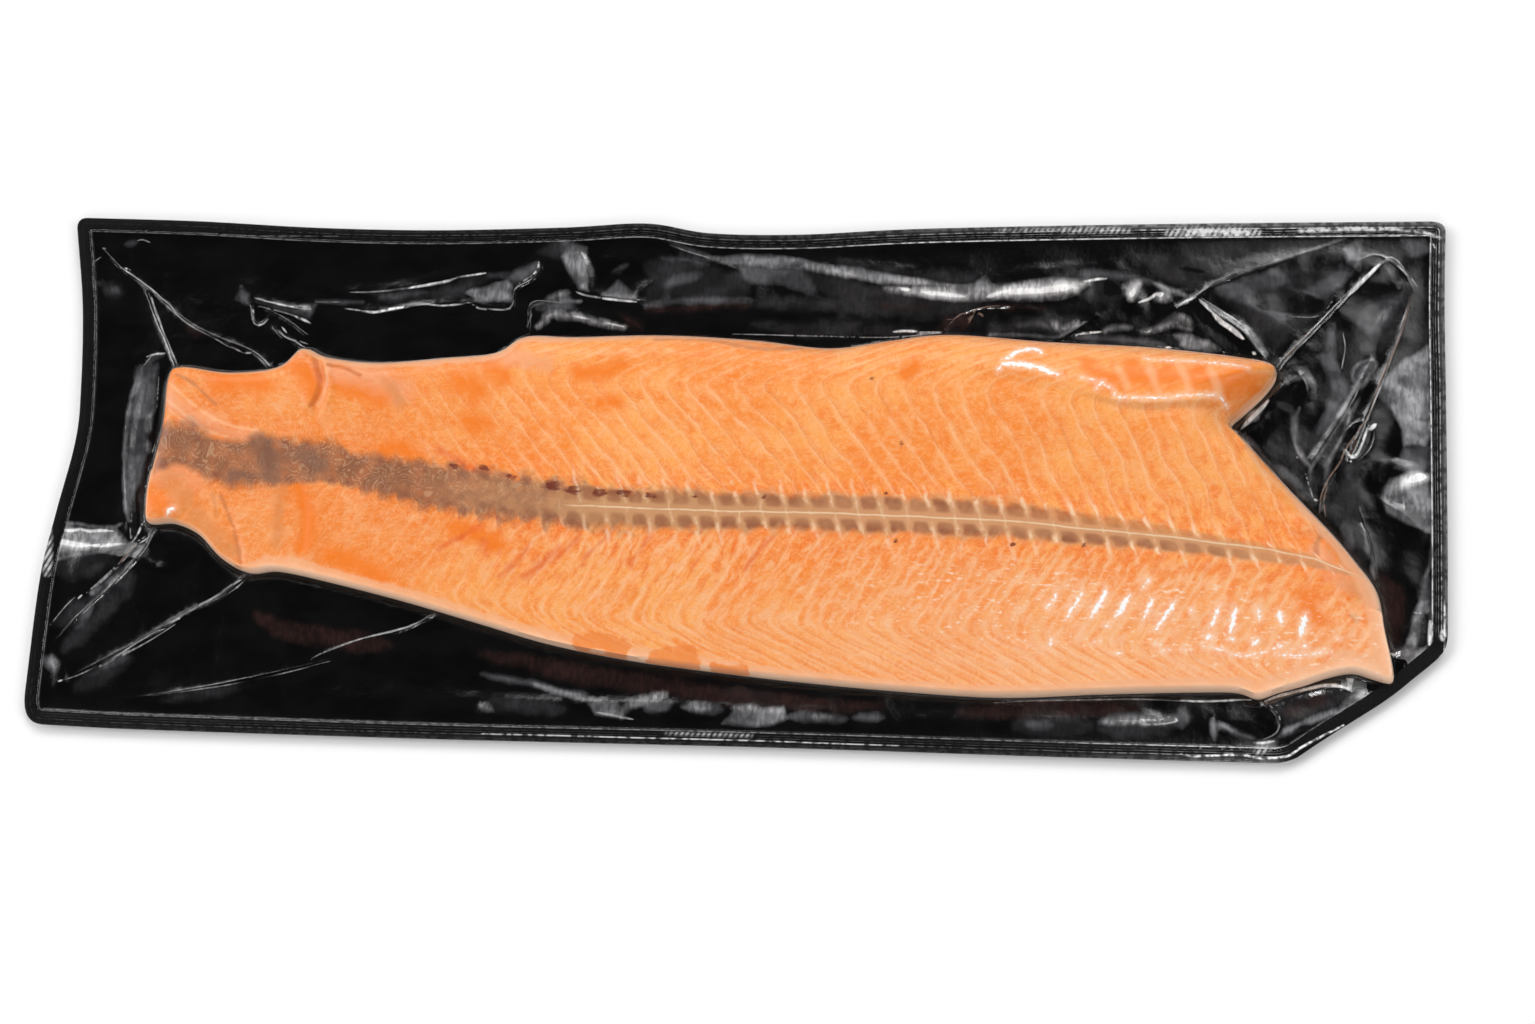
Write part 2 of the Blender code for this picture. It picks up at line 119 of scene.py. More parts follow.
world = bpy.data.worlds.new("soft lamps and sky")
world.use_nodes = True
bpy.context.scene.world = world
sky = world.node_tree
sky.nodes.clear()
sight = node(sky, "ShaderNodeTexCoord").outputs["Generated"]
height = node(sky, "ShaderNodeSeparateXYZ", {"Vector": sight}).outputs["Z"]
light = node(sky, "ShaderNodeMapRange", {"Value": height, "From Min": 0.0, "From Max": 0.9,
                                         "To Min": SKY_HORIZON, "To Max": SKY_ZENITH}).outputs[0]
for name, (azimuth, elevation, radius, brightness) in SOFT_LAMPS.items():
    facing = node(sky, "ShaderNodeVectorMath", {0: sight, 1: direction(azimuth, elevation)},
                  operation="DOT_PRODUCT").outputs["Value"]
    lamp_edge = math.cos(math.radians(radius))
    near = node(sky, "ShaderNodeMapRange", {"Value": facing, "From Min": lamp_edge}).outputs[0]
    faded = node(sky, "ShaderNodeMath", {0: near, 1: LAMP_FALL}, operation="POWER").outputs[0]
    lamp = node(sky, "ShaderNodeMath", {0: faded, 1: brightness, 2: light}, operation="MULTIPLY_ADD")
    lamp.label = name
    light = lamp.outputs[0]
glow = node(sky, "ShaderNodeBackground", {"Color": linear("#FFFFFF"), "Strength": light})
node(sky, "ShaderNodeOutputWorld", {"Surface": glow.outputs[0]})

# ---- Bottom web -----------------------------------------------------------------------------------
# The pack's back: a black multilayer film, drawn flat under the fish by the vacuum and pulled into
# creases round it. It is one closed sheet over a plan of triangles that are finest along its creases.
MM = 0.001
WEB_THICKNESS = 0.8
LAID_GAP = 0.3
SEAL_WIDTH = 6.0
SEAL_BEAD = 0.3
RIM_LIFT, RIM_LIFT_REACH = 2.5, 26.0
PUFF = 0.6
# In millimetres: over what the lift fades towards the fish, how far inside the seal the film starts to
# come loose, over what it comes loose, and over what it is held down beside the fish
LIFT_FADE, LOOSE_START, LOOSE_FADE, HELD_FADE = 12.0, 0.8, 13.0, 3.0
EDGE_STEP, FISH_STEP = 1.6, 1.4
PLAN_CORNERS = ((-312, -121), (312, 121))
BARE_PITCH, FISH_PITCH = 2.2, 2.7
# Least distance between the plan's places: along a crease, a painted streak of light and a painted
# facet's outline
CREASE_SPACING, STREAK_SPACING, FACET_SPACING = 0.48, 0.68, 0.5
# No edge acts further than the first, and no band of colour is felt further outside it than the second
EDGE_REACH, BAND_REACH = 40.0, 4.0

# The pack's edge in millimetres, counterclockwise from the front left, with a corner after each run
FRONT_EDGE = [(-300, -118), (-250, -119), (-120, -119.5), (20, -119), (150, -119.5), (238, -119.5)]
FOLDED_EDGE = [(248, -117), (262, -107), (284, -92), (296, -82), (307, -72)]
RIGHT_EDGE = [(310, -62), (310, -20), (309.5, 40), (309, 80), (309.5, 114)]
BACK_EDGE = [(303, 119.5), (190, 118), (85, 115.5), (28, 112.5), (-13, 113), (-42, 117.5), (-80, 115.5),
             (-140, 114), (-195, 115), (-252, 118), (-306, 119.5)]
LEFT_EDGE = [(-310, 115), (-303, 76), (-299.5, 36), (-299.5, 12), (-305, -22), (-309, -52), (-310, -104)]
EDGE_RUNS = [FRONT_EDGE, FOLDED_EDGE, RIGHT_EDGE, BACK_EDGE, LEFT_EDGE]
EDGE_CORNERS = [(243, -119.5), (310, -69), (310, 119.5), (-310, 119.5), (-310, -118)]

FILLET_PLAN = [
    (-261, -25), (-249, -25), (-237, -30), (-225, -41), (-212, -47), (-199, -46), (-177, -50),
    (-142, -58), (-108, -67), (-74, -76), (-40, -82), (-6, -86), (37, -90), (81, -93), (124, -94.5),
    (166, -92), (208, -90), (224, -90), (232, -92.5), (240, -89.5), (250, -86.5), (261, -82.5),
    (271, -80.5), (280, -83), (287, -84.5), (287.5, -78), (284, -62), (281, -46), (272, -33),
    (262, -21), (244, -2), (225, 19), (219, 25.5), (224, 31), (233, 40), (238, 48), (236, 53),
    (222, 56), (184, 60), (141, 62), (97, 65), (70, 62), (44, 58.5), (10, 62), (-30, 64), (-70, 63),
    (-93, 63), (-106, 55.5), (-128, 53), (-160, 50.5), (-184, 53), (-196, 57), (-207, 48), (-230, 45.5),
    (-253, 48), (-258.5, 42), (-259, 20), (-262.5, -5), (-263, -17),
]

# Broad folds round the fish: shape, reach to the left and right of the path, heights along it, path
SWELLS = {
    "back left slope": ("ridge", 16, 12, (0.2, 0.5, 0.6, 0.8),
                        [(-297, 106), (-273, 86), (-239, 63), (-212, 49)]),
    "tail pleat": ("ridge", 3, 6.5, (0.4, 1.4, 1.5, 1.5, 1.4, 0.8),
                   [(-262, 55), (-267, 49), (-269.5, 31), (-270.5, 9), (-268, -12), (-265, -34)]),
    "left shelf": ("ridge", 10, 24, (2.2, 3.2, 3.4), [(-304, -38), (-284, -40), (-266, -42)]),
    "front left upper": ("ridge", 9, 9, (0.8, 0.8, 0.6, 0.3),
                         [(-258, -28), (-264, -41), (-285, -64), (-302, -85)]),
    "front left lower": ("ridge", 10, 8, (0.8, 0.8, 0.7, 0.4),
                         [(-213, -48), (-240, -66), (-267, -83), (-294, -98)]),
    "corner cheek": ("dome", 6, 6, (1.6, 2.0), [(-301, -84), (-297, -97)]),
    "front long": ("ridge", 12, 14, (0.4, 0.5, 0.3),
                   [(-170, -85), (-201, -93), (-237, -101), (-278, -108)]),
    "front short": ("ridge", 6, 9, (0.6, 0.5, 0.3), [(-124, -63), (-161, -77), (-181, -86)]),
    "back flap": ("ridge", 7, 8, (0.6, 0.9, 0.6), [(-222, 81), (-204, 76), (-194, 69)]),
    "back pleat upper": ("roll", 9, 4.5, (0.4, 1.0, 1.3, 1.4, 1.1, 0.3),
                         [(-188, 84), (-167, 85), (-152, 86), (-138, 90), (-116, 93), (-99, 96)]),
    "back pleat lower": ("roll", 4, 7, (0.3, 1.1, 1.3, 1.4, 1.2, 0.5),
                         [(-181, 77), (-159, 75), (-144, 78), (-123, 80), (-112, 78), (-100, 77)]),
    "kite": ("ridge", 2.5, 13, (0.6, 2.8, 2.6, 1.0), [(-78, 113), (-72, 104), (-68, 96), (-66, 85)]),
    "kite tail": ("ridge", 5, 5, (1.4, 1.8, 1.2), [(-74, 89), (-58, 83), (-43, 81)]),
    "low highlight": ("roll", 5, 5, (0.5, 1.4, 1.2, 0.4), [(-92, 70), (-82, 74), (-68, 73), (-48, 69)]),
    "back diagonal": ("ridge", 9, 12, (0.8, 1.8, 2.4, 2.4, 1.0),
                      [(-35, 110), (-24, 105), (-9, 100), (5, 91), (9, 82)]),
    "back band": ("dome", 8, 10, (0.6, 1.2, 1.4, 1.4, 1.4, 1.2, 1.6, 2.4, 2.4, 1.2),
                  [(-8, 102), (13, 102), (35, 100), (57, 95), (85, 90), (106, 86), (113, 87), (124, 90),
                   (141, 92), (165, 95)]),
    "bright knob": ("dome", 5, 5, (1.6, 2.2), [(173, 88), (177, 82)]),
    "second knob": ("dome", 4, 4, (1.4, 2.0), [(187, 87), (189, 83)]),
    "loin valley": ("ridge", 3, 12, (1.2, 1.4, 0.6), [(145, 65), (153, 70), (165, 79)]),
    "back right rise": ("ridge", 10, 15, (2.4, 3.0, 2.4, 1.6, 0.6),
                        [(195, 80), (204, 85), (215, 92), (244, 103), (268, 111)]),
    "back right branch": ("roll", 4, 6, (2.6, 2.8, 2.4, 2.0), [(204, 83), (211, 77), (223, 69), (234, 55)]),
    "right long": ("ridge", 15, 11, (3.0, 3.2, 3.0, 2.4, 1.0),
                   [(236, 51), (244, 59), (258, 74), (272, 90), (285, 102)]),
    "right outer": ("ridge", 9, 13, (3.0, 3.2, 2.8, 2.4, 1.0),
                    [(269, 12), (276, 30), (283, 48), (290, 68), (296, 88)]),
    "right inner": ("ridge", 4, 5, (2.0, 2.6, 2.4, 1.4), [(254, 12), (257, 17), (267, 33), (278, 56)]),
    "notch fold": ("roll", 4.5, 3.5, (2.6, 3.2, 3.2, 2.8), [(222, 25), (234, 37), (240, 43), (248, 49)]),
    "notch hook": ("roll", 3, 5, (2.6, 2.4, 1.2), [(248, 50), (251, 44), (250, 36)]),
    "right knob": ("dome", 8, 9, (2.2, 3.6, 2.6), [(284, 6), (294, 3), (303, -5)]),
    "right cheek": ("ridge", 9, 9, (1.6, 2.2, 2.2), [(285, 54), (297, 45), (302, 20)]),
    "right run": ("ridge", 8, 3.5, (2.0, 2.6, 2.8, 2.8, 2.6, 2.0),
                  [(284, -7), (296, -15), (303, -23), (302, -36), (298, -50), (292, -69)]),
    "flap line": ("ridge", 6, 4, (1.8, 2.2, 1.4), [(284, -72), (297, -69), (308, -67)]),
    "corner fold": ("ridge", 4, 9, (2.4, 2.2, 2.2, 2.4), [(236, -95), (251, -89), (265, -87), (280, -90)]),
    "corner slope": ("ridge", 7, 6, (1.6, 2.2, 1.8), [(240, -107), (257, -101), (274, -93)]),
    "corner cheek, right": ("dome", 7, 7, (0.8, 1.2, 0.8), [(208, -101), (222, -102), (233, -103)]),
    "front roll": ("roll", 6, 6, (0.8, 1.8, 2.0, 2.0, 1.6, 0.6),
                   [(-112, -101), (-70, -103), (-30, -103), (10, -104), (50, -105), (84, -106)]),
    "front loops": ("dome", 4, 4, (1.2, 1.6, 1.2), [(182, -101), (192, -104), (201, -102)]),
    "front ripple": ("roll", 7, 7, (0.8, 1.4, 1.4, 0.8),
                     [(90, -104), (120, -105), (150, -105), (176, -104)]),
}
# Thin pinched creases: reach to each side, heights, path; those from "loin line" on lie over the fish
PINCHES = {
    "back left": (1.7, (0.3, 1.2, 1.5, 1.2, 1.1, 1.2, 1.8),
                  [(-297, 106), (-288, 96), (-273, 86), (-253, 70), (-239, 63), (-221, 56), (-212, 49)]),
    "back left branch": (1.6, (0.5, 1.2, 1.4, 2.2), [(-274, 85), (-268, 72), (-262, 61), (-256, 49)]),
    "tail pleat lip": (1.2, (0.3, 0.7, 0.7, 0.3), [(-273, 49), (-275.5, 31), (-276, 9), (-271, -27)]),
    "front left upper": (1.7, (2.2, 1.8, 1.4, 1.2, 1.0, 0.3),
                         [(-258, -28), (-261, -36), (-264, -41), (-275, -54), (-288, -67), (-302, -85)]),
    "front left lower": (1.8, (2.2, 1.9, 1.6, 1.4, 1.1, 0.3),
                         [(-213, -48), (-223, -57), (-240, -66), (-253, -75), (-272, -86), (-294, -98)]),
    "front long": (2.0, (0.3, 0.8, 0.7, 0.2), [(-170, -85), (-201, -93), (-237, -101), (-278, -108)]),
    "front short": (1.5, (1.5, 1.3, 1.2, 0.9, 0.2),
                    [(-124, -63), (-139, -71), (-161, -77), (-175, -82), (-181, -86)]),
    "flap top": (1.4, (1.0, 1.4, 0.8), [(-222, 81), (-209, 78), (-196, 77)]),
    "flap blade": (1.4, (0.5, 1.4, 0.8), [(-216, 76), (-206, 71), (-196, 64)]),
    "flap hook": (1.2, (0.8, 1.0, 0.4), [(-223, 78), (-221, 70), (-217, 70), (-215, 72)]),
    "fin fold": (1.5, (0.8, 1.6, 2.2), [(-211, 67), (-207, 63), (-202, 61), (-196, 57)]),
    "hook": (1.3, (0.4, 1.1, 1.0, 0.4), [(-91, 99), (-89, 96), (-93, 91), (-100, 86), (-101, 78)]),
    "facet edge": (1.2, (0.8, 0.9, 0.4), [(-93, 68), (-92, 80), (-75, 79)]),
    "kite edge": (1.2, (0.3, 0.9, 0.6), [(-74, 89), (-69, 84), (-58, 83), (-43, 81)]),
    "brown ridge": (1.4, (0.6, 0.8, 0.5), [(94, 68), (100, 75), (108, 79), (130, 80)]),
    "back right line": (1.5, (1.0, 1.5, 1.2, 0.8, 0.3),
                        [(195, 80), (204, 85), (215, 92), (244, 103), (268, 111)]),
    "right long": (1.6, (2.4, 1.8, 1.7, 1.7, 0.6),
                   [(237, 50), (244, 59), (258, 74), (272, 90), (285, 102)]),
    "right long hook": (1.4, (0.5, 0.9, 0.4), [(272, 101), (281, 104), (291, 97), (296, 88)]),
    "right outer": (1.6, (2.2, 1.8, 1.6, 1.3, 0.5),
                    [(269, 12), (276, 30), (283, 48), (290, 68), (296, 88)]),
    "right loop": (1.5, (0.8, 1.4, 1.4, 1.2, 0.8),
                   [(268, 25), (273, 29), (279, 26), (277, 17), (271, 12), (267, 16)]),
    "right inner": (1.4, (0.6, 1.0, 1.0, 0.4), [(254, 12), (257, 17), (267, 33), (278, 56)]),
    "shoulder upper": (1.4, (0.6, 1.0, 0.8), [(264, 8), (259, -1), (256, -11)]),
    "shoulder lower": (1.4, (0.6, 1.0, 0.8), [(273, -9), (277, -21), (281, -40)]),
    "corner fold": (1.5, (1.8, 1.2, 1.2, 1.6), [(236, -95), (251, -89), (265, -87), (284, -92)]),
    "cheek edge": (1.4, (1.0, 1.1, 1.0, 0.4), [(233, -93), (239, -100), (239, -106), (230, -110)]),
    "finger": (2.0, (0.8, 1.2, 0.4), [(213, -101), (214, -106), (214, -111)]),
    "loin line": (1.5, (0.3, 0.9, 0.8, 0.9, 0.9, 1.0),
                  [(171, 30), (187, 29), (199, 30), (210, 31), (215, 30), (219, 22)]),
    "loin crest": (1.6, (0.2, 0.6, 0.6, 0.2), [(179, 47), (197, 47), (213, 47), (226, 46)]),
    "loin glint, upper": (2.2, (0.2, 0.7, 0.5), [(122, 47), (129, 51), (138, 52)]),
    "loin glint, lower": (2.2, (0.3, 0.8, 0.7, 0.3), [(120, 41), (129, 44), (138, 43), (148, 39)]),
    "loin glint, right": (2.0, (0.5, 0.8, 0.4), [(160, 34), (166, 37), (172, 31)]),
    "belly line": (1.3, (0.2, 0.4, 0.4, 0.2), [(222, -75), (236, -74), (249, -76), (263, -73)]),
}
# Painted glints where the film over the fish catches the light, on the ribs under it and along its own
# folds: half-width and path of each glint
SHINE = {
    "rib": [
        (1.5, [(251, -58), (250, -63), (249, -67)]), (1.3, [(240, -57), (241, -62)]), (0.9, [(231, -56),
        (232, -61)]), (1.2, [(222, -56), (220, -67)]), (1.1, [(215, -56), (212, -64)]), (1.1, [(210, -69),
        (213, -68)]), (1.2, [(220, -69), (221, -69)]), (1, [(229, -71), (232, -69)]), (1.5, [(240, -71),
        (241, -71)]), (1.3, [(250, -71), (251, -71)]), (0.5, [(264, -68), (265, -68)]), (0.8, [(203, -57),
        (204, -58)]), (0.8, [(147, -52), (146, -55), (143, -58)]), (1, [(158, -51), (156, -55),
        (153, -59), (152, -62)]), (1.3, [(168, -50), (166, -55), (163, -59), (162, -61)]),
        (1.3, [(178, -52), (176, -55), (174, -59), (172, -61)]), (1.1, [(187, -54), (186, -57),
        (184, -61)]), (1.2, [(197, -54), (195, -57), (193, -60), (191, -63), (189, -66)]),
        (1.1, [(168, -65), (169, -65)]), (0.8, [(145, -71), (145, -74)])],
    "lie": [
        (0.45, [(239, -75), (249, -75), (255, -74), (262, -73)]), (0.35, [(208, -72), (218, -74),
        (225, -76), (234, -74), (239, -72)]), (0.6, [(186, -45), (183, -49)]), (0.4, [(163, -72),
        (166, -71)]), (0.4, [(189, -72), (191, -72)]), (0.4, [(191, -75), (195, -74)]), (0.4, [(200, -74),
        (204, -74)]), (0.4, [(172, -76), (175, -76)]), (1.2, [(122, 48), (124, 49), (127, 52), (132, 54),
        (136, 54), (138, 52)]), (1.3, [(120, 43), (122, 46), (127, 46), (134, 45), (138, 44), (143, 42),
        (146, 41)]), (0.45, [(155, 40), (161, 39)]), (0.9, [(162, 35), (163, 37), (165, 38)]),
        (0.5, [(164, 37), (169, 35), (170, 32), (173, 31), (179, 31), (191, 31), (198, 32), (208, 33),
        (214, 33), (217, 30)]), (0.4, [(182, 50), (186, 49)]), (0.45, [(188, 49), (192, 49), (199, 49),
        (215, 48), (224, 47), (226, 46)]), (0.4, [(191, 58), (193, 58)]), (0.4, [(207, 56), (209, 56)]),
        (0.4, [(216, 55), (218, 55)]), (1, [(-251, -22), (-250, -20), (-248, -19)])],
}
for number, (_, path) in enumerate(SHINE["rib"]):
    PINCHES[f"rib {number}"] = (1.5, (0.2, 0.45, 0.2), path)
PINCHES = {name: ("pinch", reach, reach, heights, path) for name, (reach, heights, path) in PINCHES.items()}
# What the drawn film shows of the light round it, painted into the bottom web's colour in levels from dim
# to glint: painted reflections, brown ones of the fish among them, with black streaks of painted shade:
# half-width and path of each streak, or 0 and the outline of a flat facet
PAINTED_SHEEN = {
    "dim": [
        (0, [(210, 88), (227, 93), (238, 97), (252, 99), (265, 99), (270, 97), (263, 87), (258, 78),
        (248, 70), (238, 63), (231, 66), (224, 76), (214, 85)]), (0, [(270, 76), (276, 82), (283, 86),
        (295, 89), (293, 81), (288, 70), (283, 62), (276, 60), (271, 65)]), (0, [(297, 89), (301, 89),
        (302, 63), (292, 58), (287, 53), (291, 65), (295, 76)]), (0, [(303, 98), (306, 99), (306, 87),
        (306, 30), (303, 30), (303, 65)]), (0, [(196, 109), (218, 110), (262, 111), (240, 102), (226, 97),
        (211, 93), (201, 93)]), (0, [(250, 38), (270, 39), (268, 34), (264, 27), (258, 19), (254, 12),
        (252, 13), (250, 18), (247, 23), (250, 23), (254, 25), (257, 31), (260, 35)]), (0, [(266, 12),
        (275, 12), (273, 5), (272, -1), (274, -9), (275, -17), (277, -23), (278, -32), (269, -32),
        (266, -17), (263, -6), (265, 1)]), (0, [(286, -67), (292, -68), (292, -69), (289, -71),
        (286, -71)]), (0, [(46, 101), (60, 99), (78, 96), (92, 96), (110, 95), (106, 90), (97, 90),
        (83, 93), (68, 95), (54, 97), (46, 99)]), (0, [(52, 67), (61, 70), (71, 70), (81, 70), (83, 68),
        (70, 66), (55, 67)]), (0, [(47, 93), (56, 90), (67, 88), (86, 85), (104, 82), (110, 82),
        (102, 77), (88, 74), (70, 75), (47, 77)]), (0, [(162, 92), (165, 93), (170, 89), (171, 84),
        (170, 81), (154, 84), (153, 86)]), (0, [(114, 71), (126, 74), (140, 76), (149, 75), (155, 75),
        (151, 71), (147, 68), (114, 68)]), (0, [(177, 104), (195, 103), (205, 104), (205, 87), (195, 90),
        (186, 94)]), (0, [(27, 96), (56, 91), (56, 84), (42, 84), (33, 89)]), (0, [(-42, 98), (-32, 102),
        (-13, 99), (-5, 95), (3, 95), (6, 86), (2, 83), (-10, 82), (-31, 82), (-41, 82), (-38, 89)]),
        (2.5, [(7, 81), (56, 81)]), (0, [(8, 71), (34, 72), (56, 72), (57, 66), (30, 66)]),
        (0, [(-167, 84), (-157, 84), (-142, 86), (-137, 86), (-126, 90), (-113, 93), (-117, 88),
        (-125, 84), (-142, 82), (-148, 80), (-158, 81)]), (0, [(-91, 104), (-79, 113), (-72, 106),
        (-72, 101), (-84, 102)]), (3, [(-294, 87), (-286, 83)]), (0, [(-305, -44), (-296, -42),
        (-282, -39), (-272, -37), (-274, -40), (-281, -47), (-286, -51), (-297, -51), (-304, -48)]),
        (0, [(-285, -58), (-280, -54), (-273, -45), (-267, -47), (-265, -52), (-266, -58), (-269, -60),
        (-280, -61), (-286, -63)]), (0, [(-296, -67), (-293, -62), (-287, -61), (-285, -67), (-293, -72),
        (-301, -73)]), (3.2, [(-271, -58), (-279, -68), (-289, -78), (-294, -84)]), (3.5, [(-264, -87),
        (-276, -95), (-287, -101)]), (2, [(-246, -105), (-228, -102), (-211, -98)]), (1.5, [(4, -95),
        (25, -97), (32, -97)]), (3, [(-102, -105), (-88, -103), (-66, -105)]), (5, [(131, -106),
        (161, -106)]), (5, [(167, -107), (199, -103)]), (0, [(235, -93), (249, -89), (262, -86),
        (268, -87), (269, -89), (266, -93), (262, -96), (250, -100), (244, -103), (242, -100)]),
        (1.2, [(245, -107), (254, -105), (264, -101)])],
    "brown": [
        (0, [(280, -35), (284, -38), (291, -44), (292, -54), (291, -67), (286, -67), (285, -60),
        (283, -50), (283, -45)]), (1, [(62, 80), (74, 79), (85, 80)]), (3, [(93, 70), (97, 72),
        (104, 73)]), (0.7, [(114, 80), (125, 80), (137, 79)]), (0.9, [(-40, 78), (-27, 78), (-5, 80),
        (6, 79)]), (0.8, [(-52, 75), (-42, 69)]), (2, [(-253, 68), (-245, 64)]), (1.4, [(-263, 20),
        (-265, -4), (-267, -19)]), (4, [(-207, -66), (-194, -72), (-175, -75), (-146, -78)]),
        (3.6, [(-104, -81), (-56, -89), (-20, -93), (4, -97), (27, -98), (50, -100), (73, -99)]),
        (3.5, [(107, -101), (155, -98), (183, -97)]), (2.5, [(244, -98), (261, -90)])],
    "grey": [
        (0, [(211, 89), (228, 94), (238, 98), (240, 96), (244, 91), (230, 88), (227, 85), (236, 78),
        (244, 77), (241, 73), (235, 77), (224, 82), (214, 85)]), (0, [(243, 89), (249, 88), (260, 94),
        (265, 99), (270, 97), (266, 91), (261, 86), (255, 85), (249, 86)]), (1.3, [(286, 99), (292, 89)]),
        (0, [(272, 73), (273, 78), (277, 81), (283, 83), (291, 86), (287, 76), (283, 70), (277, 69)]),
        (2, [(274, 63), (279, 62)]), (0, [(260, 70), (263, 73), (263, 57), (266, 51), (269, 43),
        (267, 34), (263, 41), (257, 57), (255, 58), (259, 60)]), (0, [(271, 49), (274, 55), (278, 56),
        (278, 54), (273, 46), (270, 45)]), (0, [(291, 111), (301, 111), (303, 106), (299, 104),
        (295, 104)]), (1.3, [(239, 37), (244, 34), (246, 29), (245, 22), (248, 16), (252, 10)]),
        (0, [(260, 38), (269, 39), (266, 33), (260, 26), (256, 24), (257, 30), (259, 35)]),
        (1.4, [(269, 9), (269, 4)]), (1.8, [(267, -15), (269, -21), (270, -27)]), (0, [(288, 9),
        (292, 18), (302, 18), (302, 8), (295, 7)]), (0, [(303, 18), (305, 19), (306, -17), (304, -23),
        (303, -4)]), (1.2, [(223, 23), (231, 17), (235, 11)]), (2, [(238, 9), (244, 5), (249, -2),
        (252, -5)]), (0, [(301, -38), (302, -38), (303, -45), (302, -49), (299, -49), (298, -45)]),
        (0, [(303, -49), (305, -50), (305, -64), (303, -64)]), (0, [(287, -73), (289, -72), (289, -77),
        (288, -82)]), (0.8, [(120, 89), (131, 90), (140, 92), (148, 92), (154, 93)]), (1.3, [(148, 95),
        (163, 95), (178, 93), (185, 91)]), (1.6, [(157, 88), (157, 83)]), (1.8, [(186, 71), (192, 74),
        (198, 76)]), (1.1, [(150, 66), (161, 66), (184, 64), (190, 63)]), (1, [(126, 71), (134, 72),
        (140, 70)]), (0, [(-81, 110), (-79, 113), (-76, 109), (-80, 102)]), (0, [(-60, 84), (-54, 91),
        (-45, 83), (-52, 83)]), (1.5, [(-80, 85), (-77, 82), (-74, 78)]), (0, [(1, 99), (3, 92), (6, 90),
        (18, 90), (29, 87), (37, 84), (33, 92), (27, 97), (15, 97)]), (0.8, [(-32, 110), (-22, 105),
        (-13, 102)]), (2, [(-31, 85), (-29, 90), (-16, 94)]), (0.5, [(-34, 101), (-27, 101), (-20, 100),
        (-13, 98)]), (1.3, [(-42, 79), (-31, 81), (-10, 82), (7, 82)]), (0.7, [(-57, 95), (-50, 98)]),
        (0, [(-113, 93), (-103, 94), (-97, 97), (-92, 99), (-91, 97), (-95, 92), (-101, 89), (-105, 92)]),
        (1, [(-163, 83), (-150, 84), (-142, 85)]), (0, [(-91, 79), (-76, 81), (-72, 77), (-90, 77)]),
        (0.3, [(-193, 80), (-171, 80)]), (1, [(-286, 107), (-281, 108)]), (1.2, [(-297, 88), (-295, 88)]),
        (1.2, [(-290, 86), (-287, 84)]), (0, [(-231, 81), (-229, 87), (-225, 83), (-225, 79)]),
        (0, [(-221, 80), (-212, 78), (-201, 76), (-194, 78), (-195, 72), (-201, 74), (-209, 76)]),
        (0, [(-275, 48), (-265, 50), (-264, 29), (-266, 20), (-266, 9), (-267, -4), (-271, -14),
        (-270, -24), (-273, -19), (-275, 0), (-275, 25)]), (1.2, [(-270, 49), (-267, 53), (-263, 54)]),
        (0, [(-291, -31), (-284, -30), (-276, -34), (-282, -34), (-290, -34)]), (1.4, [(-283, -57),
        (-278, -54), (-273, -50)]), (2.6, [(-303, -88), (-299, -90), (-297, -94)]), (1.6, [(-276, -91),
        (-265, -86)]), (1.4, [(-284, -63), (-287, -69), (-290, -74)]), (1.1, [(-103, -90), (-79, -94),
        (-67, -97), (-55, -99), (-45, -102)]), (2.4, [(-31, -101), (-22, -103), (-19, -100)]),
        (2.2, [(-12, -102), (4, -103)]), (1.8, [(34, -105), (44, -105), (58, -106)]), (1.5, [(62, -105),
        (74, -104)]), (1.6, [(166, -104), (174, -102), (188, -101), (198, -102), (201, -97)]),
        (2, [(136, -106), (146, -106)]), (0.4, [(264, -103), (266, -99), (267, -96)]), (1.2, [(216, -104),
        (223, -107), (230, -109)]), (2.4, [(200, -97), (201, -102), (200, -105)]), (0, [(223, -111),
        (231, -110), (240, -109), (239, -112), (231, -117), (223, -116)])],
    "ash": [
        (0, [(266, 107), (271, 111), (274, 111), (274, 106), (273, 97), (268, 101)]), (0.2, [(205, 87),
        (213, 91), (248, 105), (267, 112)]), (0, [(197, 67), (204, 65), (209, 65), (214, 61), (210, 60),
        (201, 61), (197, 63)]), (0.6, [(284, 99), (287, 95), (290, 89)]), (0.35, [(270, 48), (271, 53),
        (274, 56), (279, 57), (280, 54), (276, 47), (270, 41), (265, 31)]), (0, [(285, 50), (292, 57),
        (302, 63), (302, 50), (303, 30), (287, 30), (283, 38), (281, 42)]), (0.7, [(248, 35), (246, 29),
        (246, 21), (248, 15), (253, 9)]), (0.35, [(269, 35), (264, 25), (255, 12), (253, 8), (253, 3)]),
        (0.85, [(269, 33), (268, 27), (265, 20), (262, 15), (260, 9), (259, 1)]), (0.7, [(274, -16),
        (276, -21), (277, -27), (279, -32)]), (0, [(284, 39), (302, 39), (303, 24), (301, 19), (292, 19),
        (291, 26), (288, 33)]), (0, [(283, -1), (287, 4), (295, 7), (302, 5), (303, -4), (304, -20),
        (300, -18), (293, -15), (285, -11), (283, -6)]), (0.8, [(304, 8), (304, 6)]), (0.35, [(304, -17),
        (304, -23), (303, -31)]), (0.5, [(277, -27), (279, -32), (279, -36), (280, -39)]),
        (0.35, [(303, -27), (303, -32), (301, -38)]), (0, [(297, -52), (299, -49), (302, -49), (302, -53),
        (296, -54)]), (0, [(296, -55), (299, -55), (298, -62), (297, -68), (293, -68), (294, -64)]),
        (0, [(289, -73), (293, -70), (301, -69), (300, -71), (296, -75), (292, -77), (289, -81),
        (288, -77)]), (0, [(281, -89), (285, -85), (288, -84), (289, -87), (288, -90), (283, -90)]),
        (0, [(46, 98), (54, 97), (68, 94), (83, 92), (97, 89), (106, 90), (111, 94), (115, 89), (118, 89),
